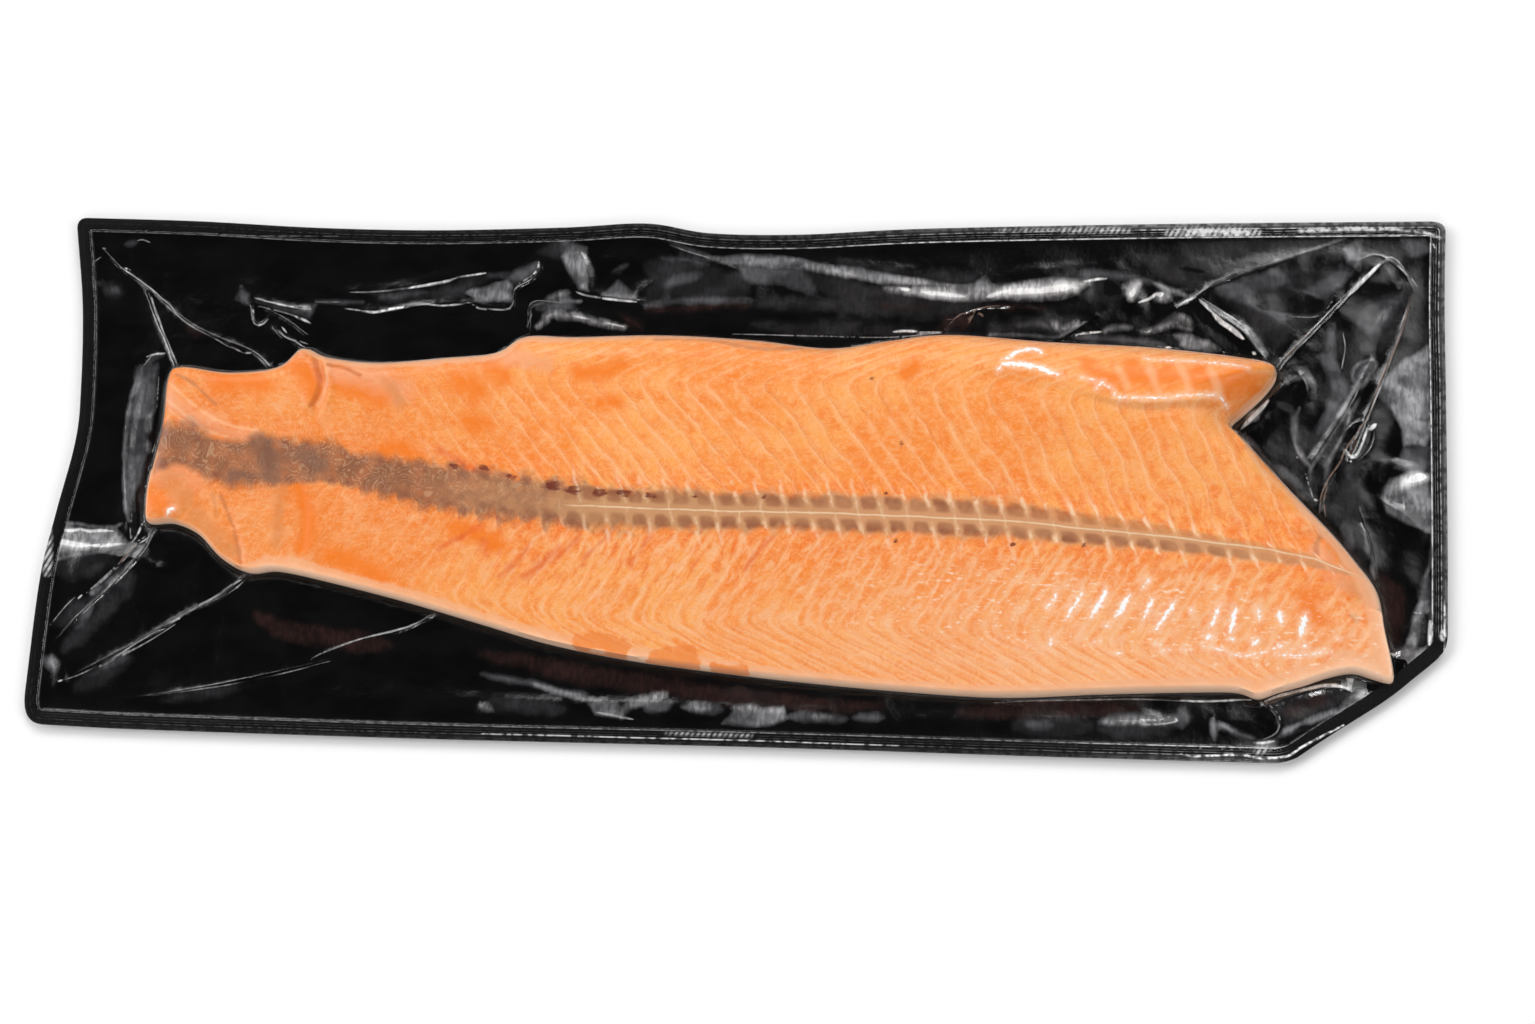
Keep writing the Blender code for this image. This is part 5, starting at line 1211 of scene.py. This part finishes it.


# Marks on the flesh: half-width and path of each, in millimetres. "dark" and "groove" are painted shade in
# the flesh's dents, folds and edges, and the first "pale" mark is a painted highlight on the tail fold's lip
MARKS = {
    "deep": [
        (4.6, [(-191, -6), (-189, -12), (-186, -21), (-184, -29), (-187, -36)]),
        (5, [(-176, 37), (-165, 34), (-154, 31)]), (6, [(-258, -15), (-250, -20)]),
        (6, [(-195, 45), (-189, 41), (-185, 33)]), (6, [(-233, 38), (-223, 40), (-210, 38)]),
        (7, [(-119, 39), (-111, 35)]), (6, [(-105, 46), (-100, 41)]), (6, [(-114, 21), (-109, 19)]),
        (5, [(-65, 43), (-53, 43), (-46, 46)]), (4, [(-54, 29), (-47, 29)]),
        (5, [(-117, -27), (-107, -30), (-96, -35)]), (5, [(-153, 7), (-145, 9), (-136, 2)]),
        (5, [(158, 45), (162, 42)]), (5, [(173, 37), (176, 46)]), (5, [(187, 36), (191, 44)]),
        (5, [(203, 37), (206, 45)]), (5, [(217, 36), (222, 44)]), (4, [(80, 41), (84, 46)]),
        (7, [(165, 40), (196, 40), (228, 40)]), (6, [(-174, -40), (-160, -44), (-150, -50)]),
        (5, [(250, -50), (256, -60)])],
    # Painted shade in the tail fold's hollow
    "groove": [
        (1.3, [(-191, 57), (-188, 49), (-185.4, 41.7), (-185.2, 33.7), (-188, 27.7)]),
        (0.9, [(-182, 47), (-175, 46), (-166, 42)])],
    # The first is a painted highlight on the tail fold's lip; the rest are pale flesh and membrane
    "pale": [
        (1.4, [(-188, 58), (-183.9, 50.7), (-181.5, 44.6), (-181.9, 36.6), (-184.5, 29)]),
        (2.2, [(171, 44), (175, 36)]), (2.2, [(184, 45), (188, 34)]), (2.2, [(197, 46), (201, 35)]),
        (2.2, [(210, 45), (214, 34)]),
        (1.2, [(223, 18), (231, 5), (242, -6), (253, -16), (266, -28), (276, -41), (281, -53)]),
        (1.0, [(239, -91), (251, -84), (266, -79), (276, -82), (284, -85)]),
        (1.0, [(267, -52), (272, -60), (277, -66)]),
        (0.8, [(-260, 42), (-250, 34), (-238, 25), (-225, 19), (-212, 17)]),
        (0.8, [(-259, 33), (-247, 24), (-234, 16), (-226, 14)]), (0.6, [(-256, 27), (-246, 20), (-238, 14)])],
    "clay": [
        (3.4, [(-199, -10), (-199, -22), (-199, -34)]), (1.5, [(-241, -14), (-240, -24)]),
        (1.5, [(-231, -12), (-228, -22)]), (3, [(-153, 38), (-148, 32), (-145, 28)]),
        (7, [(-250, -6), (-238, -24), (-222, -38)]), (7, [(266, -28), (274, -46)])],
    "pink": [
        (7, [(-178, 44), (-160, 41), (-146, 34)]), (6, [(-258, -3), (-250, -2), (-240, -6)]),
        (5, [(-258, 33), (-245, 24), (-229, 17), (-216, 14)]), (5, [(-102, 51), (-91, 49), (-81, 46)]),
        (4, [(-196, 54), (-191, 56)]), (5, [(262, -22), (272, -36), (277, -50)]),
        (5, [(255, -33), (268, -45)])],
    # Painted shade in the tail's dent and wrinkle, the folds at the right end and along the fish's edges
    "dark": [
        (1.0, [(-227, -13), (-222, -23), (-218, -33), (-214, -48)]),
        (0.9, [(-253, 43), (-245, 39), (-238, 33), (-233, 29)]),
        (1.3, [(-32, 59.5), (-10, 59.5), (9, 55), (22, 54.5), (33, 56)]), (2.0, [(42, -90), (59, -91)]),
        (1.3, [(270, -58), (272, -60)]), (1.3, [(255, -33), (256, -27), (261, -20)])],
    "red": [
        (1.9, [(-84, -36), (-91, -44), (-96, -48)]), (2.0, [(-70, -36), (-79, -44), (-85, -48)]),
        (1.3, [(-28, -29), (-33, -36), (-38, -42)]), (1.5, [(25, -30), (19, -36), (13, -44)]),
        (2.4, [(-126, 8), (-120, 4), (-110, -1)]), (1.7, [(-106, -26), (-114, -31), (-124, -36)]),
        (1.4, [(-60, -30), (-66, -36), (-73, -42)]), (1.2, [(-48, -30), (-54, -36), (-59, -41)]),
        (2.6, [(-104, -34), (-103, -38)]), (2.2, [(-38, -41), (-37, -43)])],
    "dusk": [
        (6, [(-210, 12), (-207, 4), (-204, -4)]), (4, [(-190, 6), (-180, 0)]), (3, [(-222, -4), (-214, -6)])],
    "window": [
        (4.5, [(-56, -76), (-50, -76.5), (-42, -79)]), (4.5, [(-24, -84), (-17, -84), (-10, -83)]),
        (3.0, [(1, -87), (7, -88), (12, -87.5)])],
}
# Blood spots: half-width and place of those in the row along the tail's midline, and places of small ones
LONG_SPOTS = [(1.4, -121, 1), (1.2, -107, 0), (1.2, -94, -4), (2.6, -76, -8), (2.2, -66, -10),
              (2.4, -54, -11), (2.0, -43, -11), (1.6, -31, -12)]
SMALL_SPOTS = [(79, 11), (73, -11), (78, -31), (128, -32), (158, -32), (65, 39), (-10, -13), (20, -13)]
MARKS["spot"] = [(half, [(x, y), (x + 3.0, y - 0.6)]) for half, x, y in LONG_SPOTS]
MARKS["spot"] += [(1.0, [(x, y), (x + 0.6, y + 0.4)]) for x, y in SMALL_SPOTS]
MARK_SOFTNESS = 1.6

flesh_line = even_loop(fish_line, FLESH_PITCH)
grid = hex_grid(FLESH_PITCH, (-266, -97), (290, 68))
grid = grid[inside(flesh_line, *grid.T)]
flesh_groups = [(flesh_line, 0.4)] + [(offset_loop(flesh_line, d), 0.5) for d in (0.4, 1.1, 2.1, 3.3)]
for half, path in SHINE["rib"] + SHINE["lie"]:
    flesh_groups += [(line, 0.45) for line in alongside(path, (0.0, -half - 0.3, half + 0.3), 0.7)]
flesh_plan, flesh_faces = triangles(thinned(flesh_groups + [(grid, 0.8)]), flesh_line)
fx, fy = flesh_plan.T
inner = distance_to(closed_line(flesh_line), fx, fy, EDGE_REACH)[0]
phase, strip_phase = segment_phase(fx, fy)
wall = np.abs(phase - np.round(phase))
reach = fy - across_at(MIDLINE, fx)
flesh_top = flesh_height(fx, fy, inner) - WALL_DEPTH * smooth(1 - wall / 0.16) * smooth(inner / 6.0)

# The underside is closed along the same rim, flat on the web
rim = rim_of(flesh_faces)
following = dict(rim.tolist())
order = [int(rim[0, 0])]
while following[order[-1]] != order[0]:
    order.append(following[order[-1]])
ring = [(i, (i + 1) % len(order)) for i in range(len(order))]
_, _, base_faces, _, _, _ = delaunay_2d_cdt([Vector(flesh_plan[v]) for v in order], ring, [], 1, 1e-6)
base_faces = np.array(base_faces) + len(flesh_plan)
below = np.full(len(flesh_plan), -1)
below[order] = np.arange(len(order)) + len(flesh_plan)
walls = np.vstack([np.column_stack([rim[:, 1], rim[:, 0], below[rim[:, 0]]]),
                   np.column_stack([rim[:, 1], below[rim[:, 0]], below[rim[:, 1]]])])
flesh_verts = np.vstack([np.column_stack([flesh_plan * MM, flesh_top * MM]),
                         np.column_stack([flesh_plan[order] * MM, np.full(len(order), FISH_FLOOR * MM)])])
salmon = mesh_piece("salmon_side", flesh_verts, np.vstack([flesh_faces, walls, base_faces[:, ::-1]]), 75.0)

# Width of the pale skirt of membrane along the fillet's front and its back, at each x
FRONT_SKIRT = np.array([(-215, 2), (-204, 7), (-170, 6), (-100, 5), (-40, 6), (40, 4), (120, 4), (200, 5),
                        (240, 7), (285, 9)], float)
BACK_SKIRT = np.array([(-260, 1), (-200, 3), (-160, 5), (-106, 7), (-60, 5), (0, 4), (60, 3), (110, 1),
                       (238, 1.5), (250, 6), (280, 8)], float)
skirt = inner / np.where(reach > 0, across_at(BACK_SKIRT, fx), across_at(FRONT_SKIRT, fx))
strip = np.where(reach > 0, reach / (across_at(STRIP_TOP, fx) - across_at(MIDLINE, fx)),
                 reach / (across_at(MIDLINE, fx) - across_at(STRIP_FOOT, fx)))
keep_values(salmon, phase=phase, strip_phase=strip_phase, reach=reach, strip=strip, skirt=skirt)
for name, group in MARKS.items():
    shown = np.zeros(fx.shape)
    for half, path in group:
        d = distance_to(spline(path, 2.0), fx, fy, half * MARK_SOFTNESS)[0]
        shown = np.maximum(shown, np.clip(1 - d / (half * MARK_SOFTNESS), 0.0, 1.0))
    keep_values(salmon, **{name: shown})
# Where the painted glints of SHINE lie
keep_values(salmon, -BAND_REACH, shine=banded(SHINE["rib"] + SHINE["lie"], fx, fy, 0.5))


def nudged(tree, value, noise_value, width):
    """A value moved either way by a noise, over the given width in all."""
    moved = maths(tree, "MULTIPLY", maths(tree, "SUBTRACT", noise_value, 0.5), width)
    return maths(tree, "ADD", value, moved)


def rest_of(tree, share):
    """What a share leaves of the whole."""
    return maths(tree, "SUBTRACT", 1.0, share)


def layered(tree, colour, layers):
    """A colour with named layers laid over it in turn, each a share and a colour."""
    for share, tint in layers.values():
        colour = blended(tree, share, colour, tint)
    return colour


def ragged_mark(tree, name, noise_value, width, low, high, edge=0.1):
    """How much of a kind of mark shows at each place, its edge broken up by a noise."""
    stored = attribute(tree, name)
    ragged = ramp(tree, nudged(tree, stored, noise_value, width), low, high)
    return times(tree, ramp(tree, stored, 0.0, edge), ragged)


# Raw salmon: soft, moist flesh with a broad low gloss of its own, and all its marks in one colour chain,
# painted shade and painted highlights among them
raw_salmon, tree = new_material("raw salmon flesh")
place = node(tree, "ShaderNodeTexCoord").outputs["Object"]
along = node(tree, "ShaderNodeSeparateXYZ", {"Vector": place}).outputs["X"]
phase_in, strip_phase_in, reach_in, strip_in, skirt_in = (
    attribute(tree, name) for name in ("phase", "strip_phase", "reach", "strip", "skirt"))
rough, middling = speckle(tree, place, 5.0, 4.0), speckle(tree, place, 9.0, 3.0)
slow, drift = speckle(tree, place, 16.0, 3.0), speckle(tree, place, 22.0, 3.0)
fibres = speckle(tree, place, 1.3, 3.0, (0.35, 1.0, 1.0))
counted = nudged(tree, phase_in, drift, 0.9)
from_wall = near_whole(tree, counted)
swirl_noise = node(tree, "ShaderNodeTexNoise", {"Vector": place, "Scale": 110.0, "Detail": 2.5,
                                                "Distortion": 1.4}).outputs["Fac"]
swirl = near_whole(tree, maths(tree, "MULTIPLY", swirl_noise, 8.0))
upper = ramp(tree, reach_in, -4.0, 6.0)
lower = rest_of(tree, upper)
plain_tail = rest_of(tree, times(tree, ramp(tree, along, -0.05, -0.17), 0.8))
# Streaks run along the walls: their noise changes sooner from one segment to the next than along a wall
streak_place = node(tree, "ShaderNodeCombineXYZ", {"X": counted, "Y": times(tree, reach_in, 0.045)})
streaks = node(tree, "ShaderNodeTexNoise", {"Vector": streak_place.outputs[0], "Scale": 3.2,
                                            "Detail": 4.0}).outputs["Fac"]
glossy = maths(tree, "ADD", rough, maths(tree, "MULTIPLY", streaks, 0.8))
# Pearly wisps of membrane lie over the tail, on the level lines of a slow stretched noise
turned = node(tree, "ShaderNodeMapping", {"Vector": place, "Rotation": (0.0, 0.0, 0.5),
                                          "Scale": (0.55, 1.6, 1.0)}).outputs[0]
wisp_noise = node(tree, "ShaderNodeTexNoise", {"Vector": turned, "Scale": 45.0, "Detail": 2.5,
                                               "Distortion": 0.7}).outputs["Fac"]
wisp_part = maths(tree, "FRACT", maths(tree, "MULTIPLY", wisp_noise, 9.0))
wisp = maths(tree, "ABSOLUTE", maths(tree, "SUBTRACT", wisp_part, 0.5))

colour = blended(tree, ramp(tree, speckle(tree, place, 38.0), 0.36, 0.64), "#FEAC5A", "#FA9034")
colour = layered(tree, colour, {
    "pale patches": (times(tree, ramp(tree, rough, 0.42, 0.68), 0.55), "#FBB273"),
    "orange between the walls": (
        times(tree, ramp(tree, middling, 0.52, 0.68), ramp(tree, from_wall, 0.1, 0.3), 0.75), "#F8862C"),
    "red streaks below the midline": (
        times(tree, ramp(tree, streaks, 0.51, 0.66), ramp(tree, reach_in, -7.0, -13.0),
              ramp(tree, reach_in, -44.0, -26.0), ramp(tree, along, -0.15, -0.10),
              ramp(tree, along, 0.05, -0.02), 0.75), "#EC6A26"),
    "pale belly": (
        times(tree, lower, ramp(tree, reach_in, -24.0, -52.0), ramp(tree, along, -0.06, 0.06), 0.4),
        "#FDB478"),
    "deeper beside the midline": (
        times(tree, ramp(tree, maths(tree, "ABSOLUTE", reach_in), 30.0, 8.0),
              ramp(tree, streaks, 0.40, 0.62), 0.8), "#F57826"),
    "light streaks below": (
        times(tree, lower, ramp(tree, streaks, 0.52, 0.38), ramp(tree, reach_in, -8.0, -15.0),
              ramp(tree, along, -0.12, 0.0, 0.5, 1.0), 0.6), "#FCC091"),
    # A painted sheen of reflected light over the belly at the right
    "painted sheen at the right": (
        times(tree, lower, ramp(tree, along, 0.02, 0.15), ramp(tree, reach_in, -12.0, -28.0),
              ramp(tree, glossy, 0.6, 1.05, 0.75, 0.1), 0.6), "#FCD2B0"),
    "deep tail": (
        times(tree, ramp(tree, along, -0.06, -0.18), ramp(tree, drift, 0.36, 0.6, 0.5, 1.0),
              ramp(tree, reach_in, -30.0, -6.0, 0.7, 1.0), 0.9), "#EE7C1C"),
    "shade behind each wall": (
        times(tree, ramp(tree, near_whole(tree, counted, -0.24), 0.27, 0.03),
              ramp(tree, streaks, 0.34, 0.6, 0.35, 1.0), ramp(tree, along, -0.2, -0.1, 0.3, 1.0), 0.5),
        "#F8882E"),
    "soft wall": (
        times(tree, ramp(tree, from_wall, 0.26, 0.03), ramp(tree, slow, 0.35, 0.62), plain_tail, 0.44),
        "#FDBF88"),
    "thin wall": (
        times(tree, ramp(tree, from_wall, 0.085, 0.025), ramp(tree, middling, 0.36, 0.6),
              ramp(tree, reach_in, 48.0, 58.0, 1.0, 0.45), plain_tail, 0.30), "#FFD0A6"),
    "grey line by the wall": (
        times(tree, ramp(tree, near_whole(tree, counted, -0.12), 0.035, 0.01), upper,
              ramp(tree, slow, 0.54, 0.38), 0.4), "#D3906A"),
    "fibres": (times(tree, ramp(tree, fibres, 0.35, 0.65), 0.25), "#FDB678"),
    "ember line by the wall": (
        times(tree, ramp(tree, near_whole(tree, counted, -0.08), 0.05, 0.0), upper,
              ramp(tree, streaks, 0.4, 0.6), 0.4), "#EE8038"),
    "fine grain": (
        times(tree, ramp(tree, near_whole(tree, maths(tree, "MULTIPLY", counted, 4.0)), 0.14, 0.02),
              ramp(tree, rough, 0.45, 0.6), 0.14), "#FFCB9C"),
    "light swirls": (times(tree, ramp(tree, swirl, 0.16, 0.03), 0.26), "#FFC894"),
    "deep swirls": (times(tree, ramp(tree, swirl, 0.34, 0.5), 0.22), "#EC7826"),
    "wisps": (
        times(tree, ramp(tree, wisp, 0.13, 0.02), ramp(tree, along, -0.06, -0.17),
              ramp(tree, slow, 0.42, 0.6), 0.3), "#FBBC88"),
    "pearl on the tail": (
        times(tree, ramp(tree, middling, 0.48, 0.36), ramp(tree, along, -0.12, -0.20), 0.4), "#F8B27A"),
})
# Each kind of mark: its colour, its weight and how firm its edge is; dark and groove are painted shade
MARK_LOOKS = {
    "deep": ("#F67E12", 0.85, 1.0),
    "pink": ("#F3A67C", 0.55, 0.95),
    "dark": ("#B5714C", 0.5, 0.9),
    "clay": ("#D98A50", 0.55, 1.0),
    "pale": ("#FFC898", 0.45, 0.9),
    "red": ("#E4541F", 0.6, 1.3),
    "groove": ("#D0691C", 0.75, 0.8),
}
for name, (tint, weight, firm) in MARK_LOOKS.items():
    mark = ragged_mark(tree, name, rough, 1.1, 0.1, firm, 0.2)
    colour = blended(tree, times(tree, mark, weight), colour, tint)

# The brown midline: swirled dark flesh at the tail, then paired squares beside a white line
squared = ramp(tree, nudged(tree, along, drift, 0.05), -0.09, -0.05)
leaned = maths(tree, "ADD", strip_phase_in, maths(tree, "MULTIPLY", strip_in, 0.22))
leaned = nudged(tree, nudged(tree, leaned, drift, 0.5), rough, 0.35)
strip_wall = near_whole(tree, leaned)
toothed = times(tree, maths(tree, "SUBTRACT", maths(tree, "FRACT", leaned), 0.5),
                ramp(tree, along, -0.03, -0.08, 0.08, 0.26), ramp(tree, along, -0.20, -0.16),
                ramp(tree, strip_in, 0.2, -0.2, 0.25, 1.0))
out = maths(tree, "ABSOLUTE", strip_in)
strip_edge = maths(tree, "ADD", out, nudged(tree, toothed, middling, 1.0))
faded_top = times(tree, ramp(tree, along, 0.10, 0.20), ramp(tree, strip_in, -0.2, 0.9), 0.6)
on_strip = times(tree, ramp(tree, strip_edge, 1.30, 0.70), rest_of(tree, faded_top))
aside = maths(tree, "MULTIPLY", maths(tree, "SUBTRACT", 0.5, strip_wall), 2.6)
beyond = maths(tree, "MULTIPLY", maths(tree, "SUBTRACT", out, 0.64), 2.3)
aside, beyond = times(tree, aside, aside), times(tree, beyond, beyond)
rounded = maths(tree, "SQRT", maths(tree, "ADD", times(tree, aside, aside), times(tree, beyond, beyond)))
square = times(tree, ramp(tree, rounded, 1.15, 0.3), ramp(tree, out, 0.1, 0.95, 0.6, 1.0),
               ramp(tree, slow, 0.3, 0.55, 0.6, 1.0), ramp(tree, along, 0.27, 0.16, 0.35, 1.0))
ground = blended(tree, ramp(tree, along, -0.08, 0.10), "#C49468", "#D09A6E")
squares = layered(tree, ground, {
    "squares": (times(tree, square, ramp(tree, rough, 0.3, 0.6, 0.7, 1.0)), "#8C5238"),
    "pale walls": (
        times(tree, ramp(tree, strip_wall, 0.09, 0.0), ramp(tree, rough, 0.42, 0.58), 0.5), "#EBC8A2"),
})
rosettes = layered(tree, blended(tree, ramp(tree, middling, 0.36, 0.64), "#AC6A44", "#86583E"), {
    "lighter to the right": (ramp(tree, along, -0.14, -0.10, 0.0, 0.65), "#BE8C62"),
    "dark cores": (
        times(tree, ramp(tree, nudged(tree, out, rough, 1.0), 0.3, 0.9),
              ramp(tree, strip_wall, 0.1, 0.4), 0.7), "#764436"),
    "light swirls": (times(tree, ramp(tree, swirl, 0.22, 0.03), ramp(tree, slow, 0.36, 0.6), 0.6), "#C69E7C"),
    "dusk": (
        times(tree, ramp(tree, nudged(tree, attribute(tree, "dusk"), rough, 1.1), 0.1, 0.8), 0.6), "#6B5449"),
    "mottling": (times(tree, ramp(tree, rough, 0.42, 0.60), ramp(tree, along, -0.16, -0.12), 0.5), "#8C6048"),
})
brown = blended(tree, squared, rosettes, squares)
off_edge = maths(tree, "ABSOLUTE", maths(tree, "SUBTRACT", strip_edge, 1.0))
off_midline = maths(tree, "ABSOLUTE", nudged(tree, reach_in, slow, 1.6))
colour = layered(tree, colour, {
    "midline": (times(tree, on_strip, ramp(tree, along, 0.275, 0.2, 0.55, 0.92)), brown),
    "fringe": (
        times(tree, ramp(tree, off_edge, 0.5, 0.0), ramp(tree, along, -0.16, -0.10),
              ramp(tree, along, 0.02, -0.04), ramp(tree, rough, 0.42, 0.62), 0.5), "#8A4A38"),
    "feathered walls": (
        times(tree, ramp(tree, near_whole(tree, leaned, 0.04), 0.15, 0.02), ramp(tree, strip_edge, 2.4, 1.1),
              ramp(tree, out, 0.3, 0.9), squared, ramp(tree, rough, 0.40, 0.58),
              ramp(tree, along, 0.05, 0.15, 0.55, 0.8)), "#FCD9B4"),
    "white line": (
        times(tree, ramp(tree, off_midline, 0.55, 0.15), ramp(tree, along, -0.070, -0.060),
              ramp(tree, rough, 0.3, 0.5, 0.6, 1.0), 0.8), "#EFD3AE"),
    "blood spots": (times(tree, ragged_mark(tree, "spot", fibres, 1.6, 0.3, 0.8), 0.85), "#6E2418"),
})

# The pale skirt of membrane at the edge, with windows of bare flesh, painted light on its outermost edge
# and painted sparkles
skirt_edge = nudged(tree, skirt_in, middling, 0.8)
window = ragged_mark(tree, "window", middling, 1.8, 0.22, 0.46)
on_skirt = times(tree, ramp(tree, skirt_edge, 1.1, 0.75), rest_of(tree, window))
membrane = blended(tree, ramp(tree, skirt_edge, 0.7, 0.1), "#F8B688", "#FFCCA6")
# The last two layers are painted highlights, a glow and glints, where the film that clings to the fish
# catches the light
shine = nudged(tree, attribute(tree, "shine"), speckle(tree, place, 1.6, 3.0), 3.6)
colour = layered(tree, colour, {
    "skirt": (times(tree, on_skirt, 0.8), membrane),
    # The membrane's outermost edge painted lighter, against the shade at the fish's edge
    "painted light on the pale edge": (ramp(tree, skirt_in, 0.34, 0.02, 0.0, 0.75), "#FFDCC2"),
    "windows": (times(tree, window, 0.65), "#F0863A"),
    # Painted glints scattered over the belly
    "painted sparkle": (
        times(tree, ramp(tree, fibres, 0.56, 0.68), ramp(tree, rough, 0.42, 0.58),
              ramp(tree, reach_in, -12.0, -22.0), ramp(tree, reach_in, -58.0, -48.0),
              ramp(tree, along, 0.02, 0.12), 0.7), "#FFE9D2"),
    "glow": (ramp(tree, shine, -2.4, 1.0, 0.0, 0.45), "#FFE6D0"),
    "glint": (ramp(tree, shine, 0.0, 0.9), "#FFFFFF"),
})

bump = node(tree, "ShaderNodeBump", {"Height": speckle(tree, place, 1.6), "Strength": 0.2,
                                     "Distance": 0.0004})
shader = node(tree, "ShaderNodeBsdfPrincipled", {"Base Color": colour, "Roughness": 0.5, "IOR": 1.35,
                                                 "Specular IOR Level": 0.3, "Normal": bump.outputs[0]})
node(tree, "ShaderNodeOutputMaterial", {"Surface": shader.outputs[0]})
salmon.data.materials.append(raw_salmon)
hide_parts("fillet")
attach(salmon, "root")

# ---- Lid film -------------------------------------------------------------------------------------
# The clear top web, drawn down by the vacuum onto the fish and the bottom web, and creased with it.
# It is one closed thin sheet over the same plan as the bottom web, bridging the step at the fish's edge.
FILM_THICKNESS = 0.12
FILM_GAP = 0.2
TENT_REACH = 1.6

plan_inner = np.where(plan_on_fish, from_fish, 0.0)
over_fish = flesh_height(px, py, plan_inner) + pinches * smooth(plan_inner / 2.0)
fall = np.clip(clear / TENT_REACH, 0.0, 1.0) ** 0.8
tent = (FISH_FLOOR + LIP) * (1 - fall) + web_top * fall
leaning = WEB_THICKNESS + gathered
beside = np.maximum(np.maximum(web_top, tent), leaning)
film_low = np.where(plan_on_fish, over_fish, beside) + FILM_GAP
lid_film = sheet("lid_film", plan, plan_faces, film_low + FILM_THICKNESS, film_low)
keep_values(lid_film, clinging=smooth(1 - clear / 2.5))

# Clear cast film: seen by its reflections alone, sharp where it is free and dull where it clings
clear_film, tree = new_material("clear lid film")
place = node(tree, "ShaderNodeTexCoord").outputs["Object"]
bump = node(tree, "ShaderNodeBump", {"Height": speckle(tree, place, 3.0), "Strength": 0.2,
                                     "Distance": 0.0005})
clinging = attribute(tree, "clinging")
matt = ramp(tree, clinging, 0.0, 1.0, 0.07, 0.32)
gloss = node(tree, "ShaderNodeBsdfGlossy", {"Color": linear("#FFFFFF"), "Roughness": matt,
                                            "Normal": bump.outputs[0]})
through = node(tree, "ShaderNodeBsdfTransparent", {"Color": linear("#FFFFFF")})
bent = ramp(tree, clinging, 0.0, 1.0, 1.6, 1.3)
fresnel = node(tree, "ShaderNodeFresnel", {"IOR": bent, "Normal": bump.outputs[0]}).outputs[0]
outer = rest_of(tree, node(tree, "ShaderNodeNewGeometry").outputs["Backfacing"])
mixed = node(tree, "ShaderNodeMixShader", {0: times(tree, fresnel, outer), 1: through.outputs[0],
                                           2: gloss.outputs[0]})
node(tree, "ShaderNodeOutputMaterial", {"Surface": mixed.outputs[0]})
lid_film.data.materials.append(clear_film)
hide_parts("top_film")
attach(lid_film, "root")
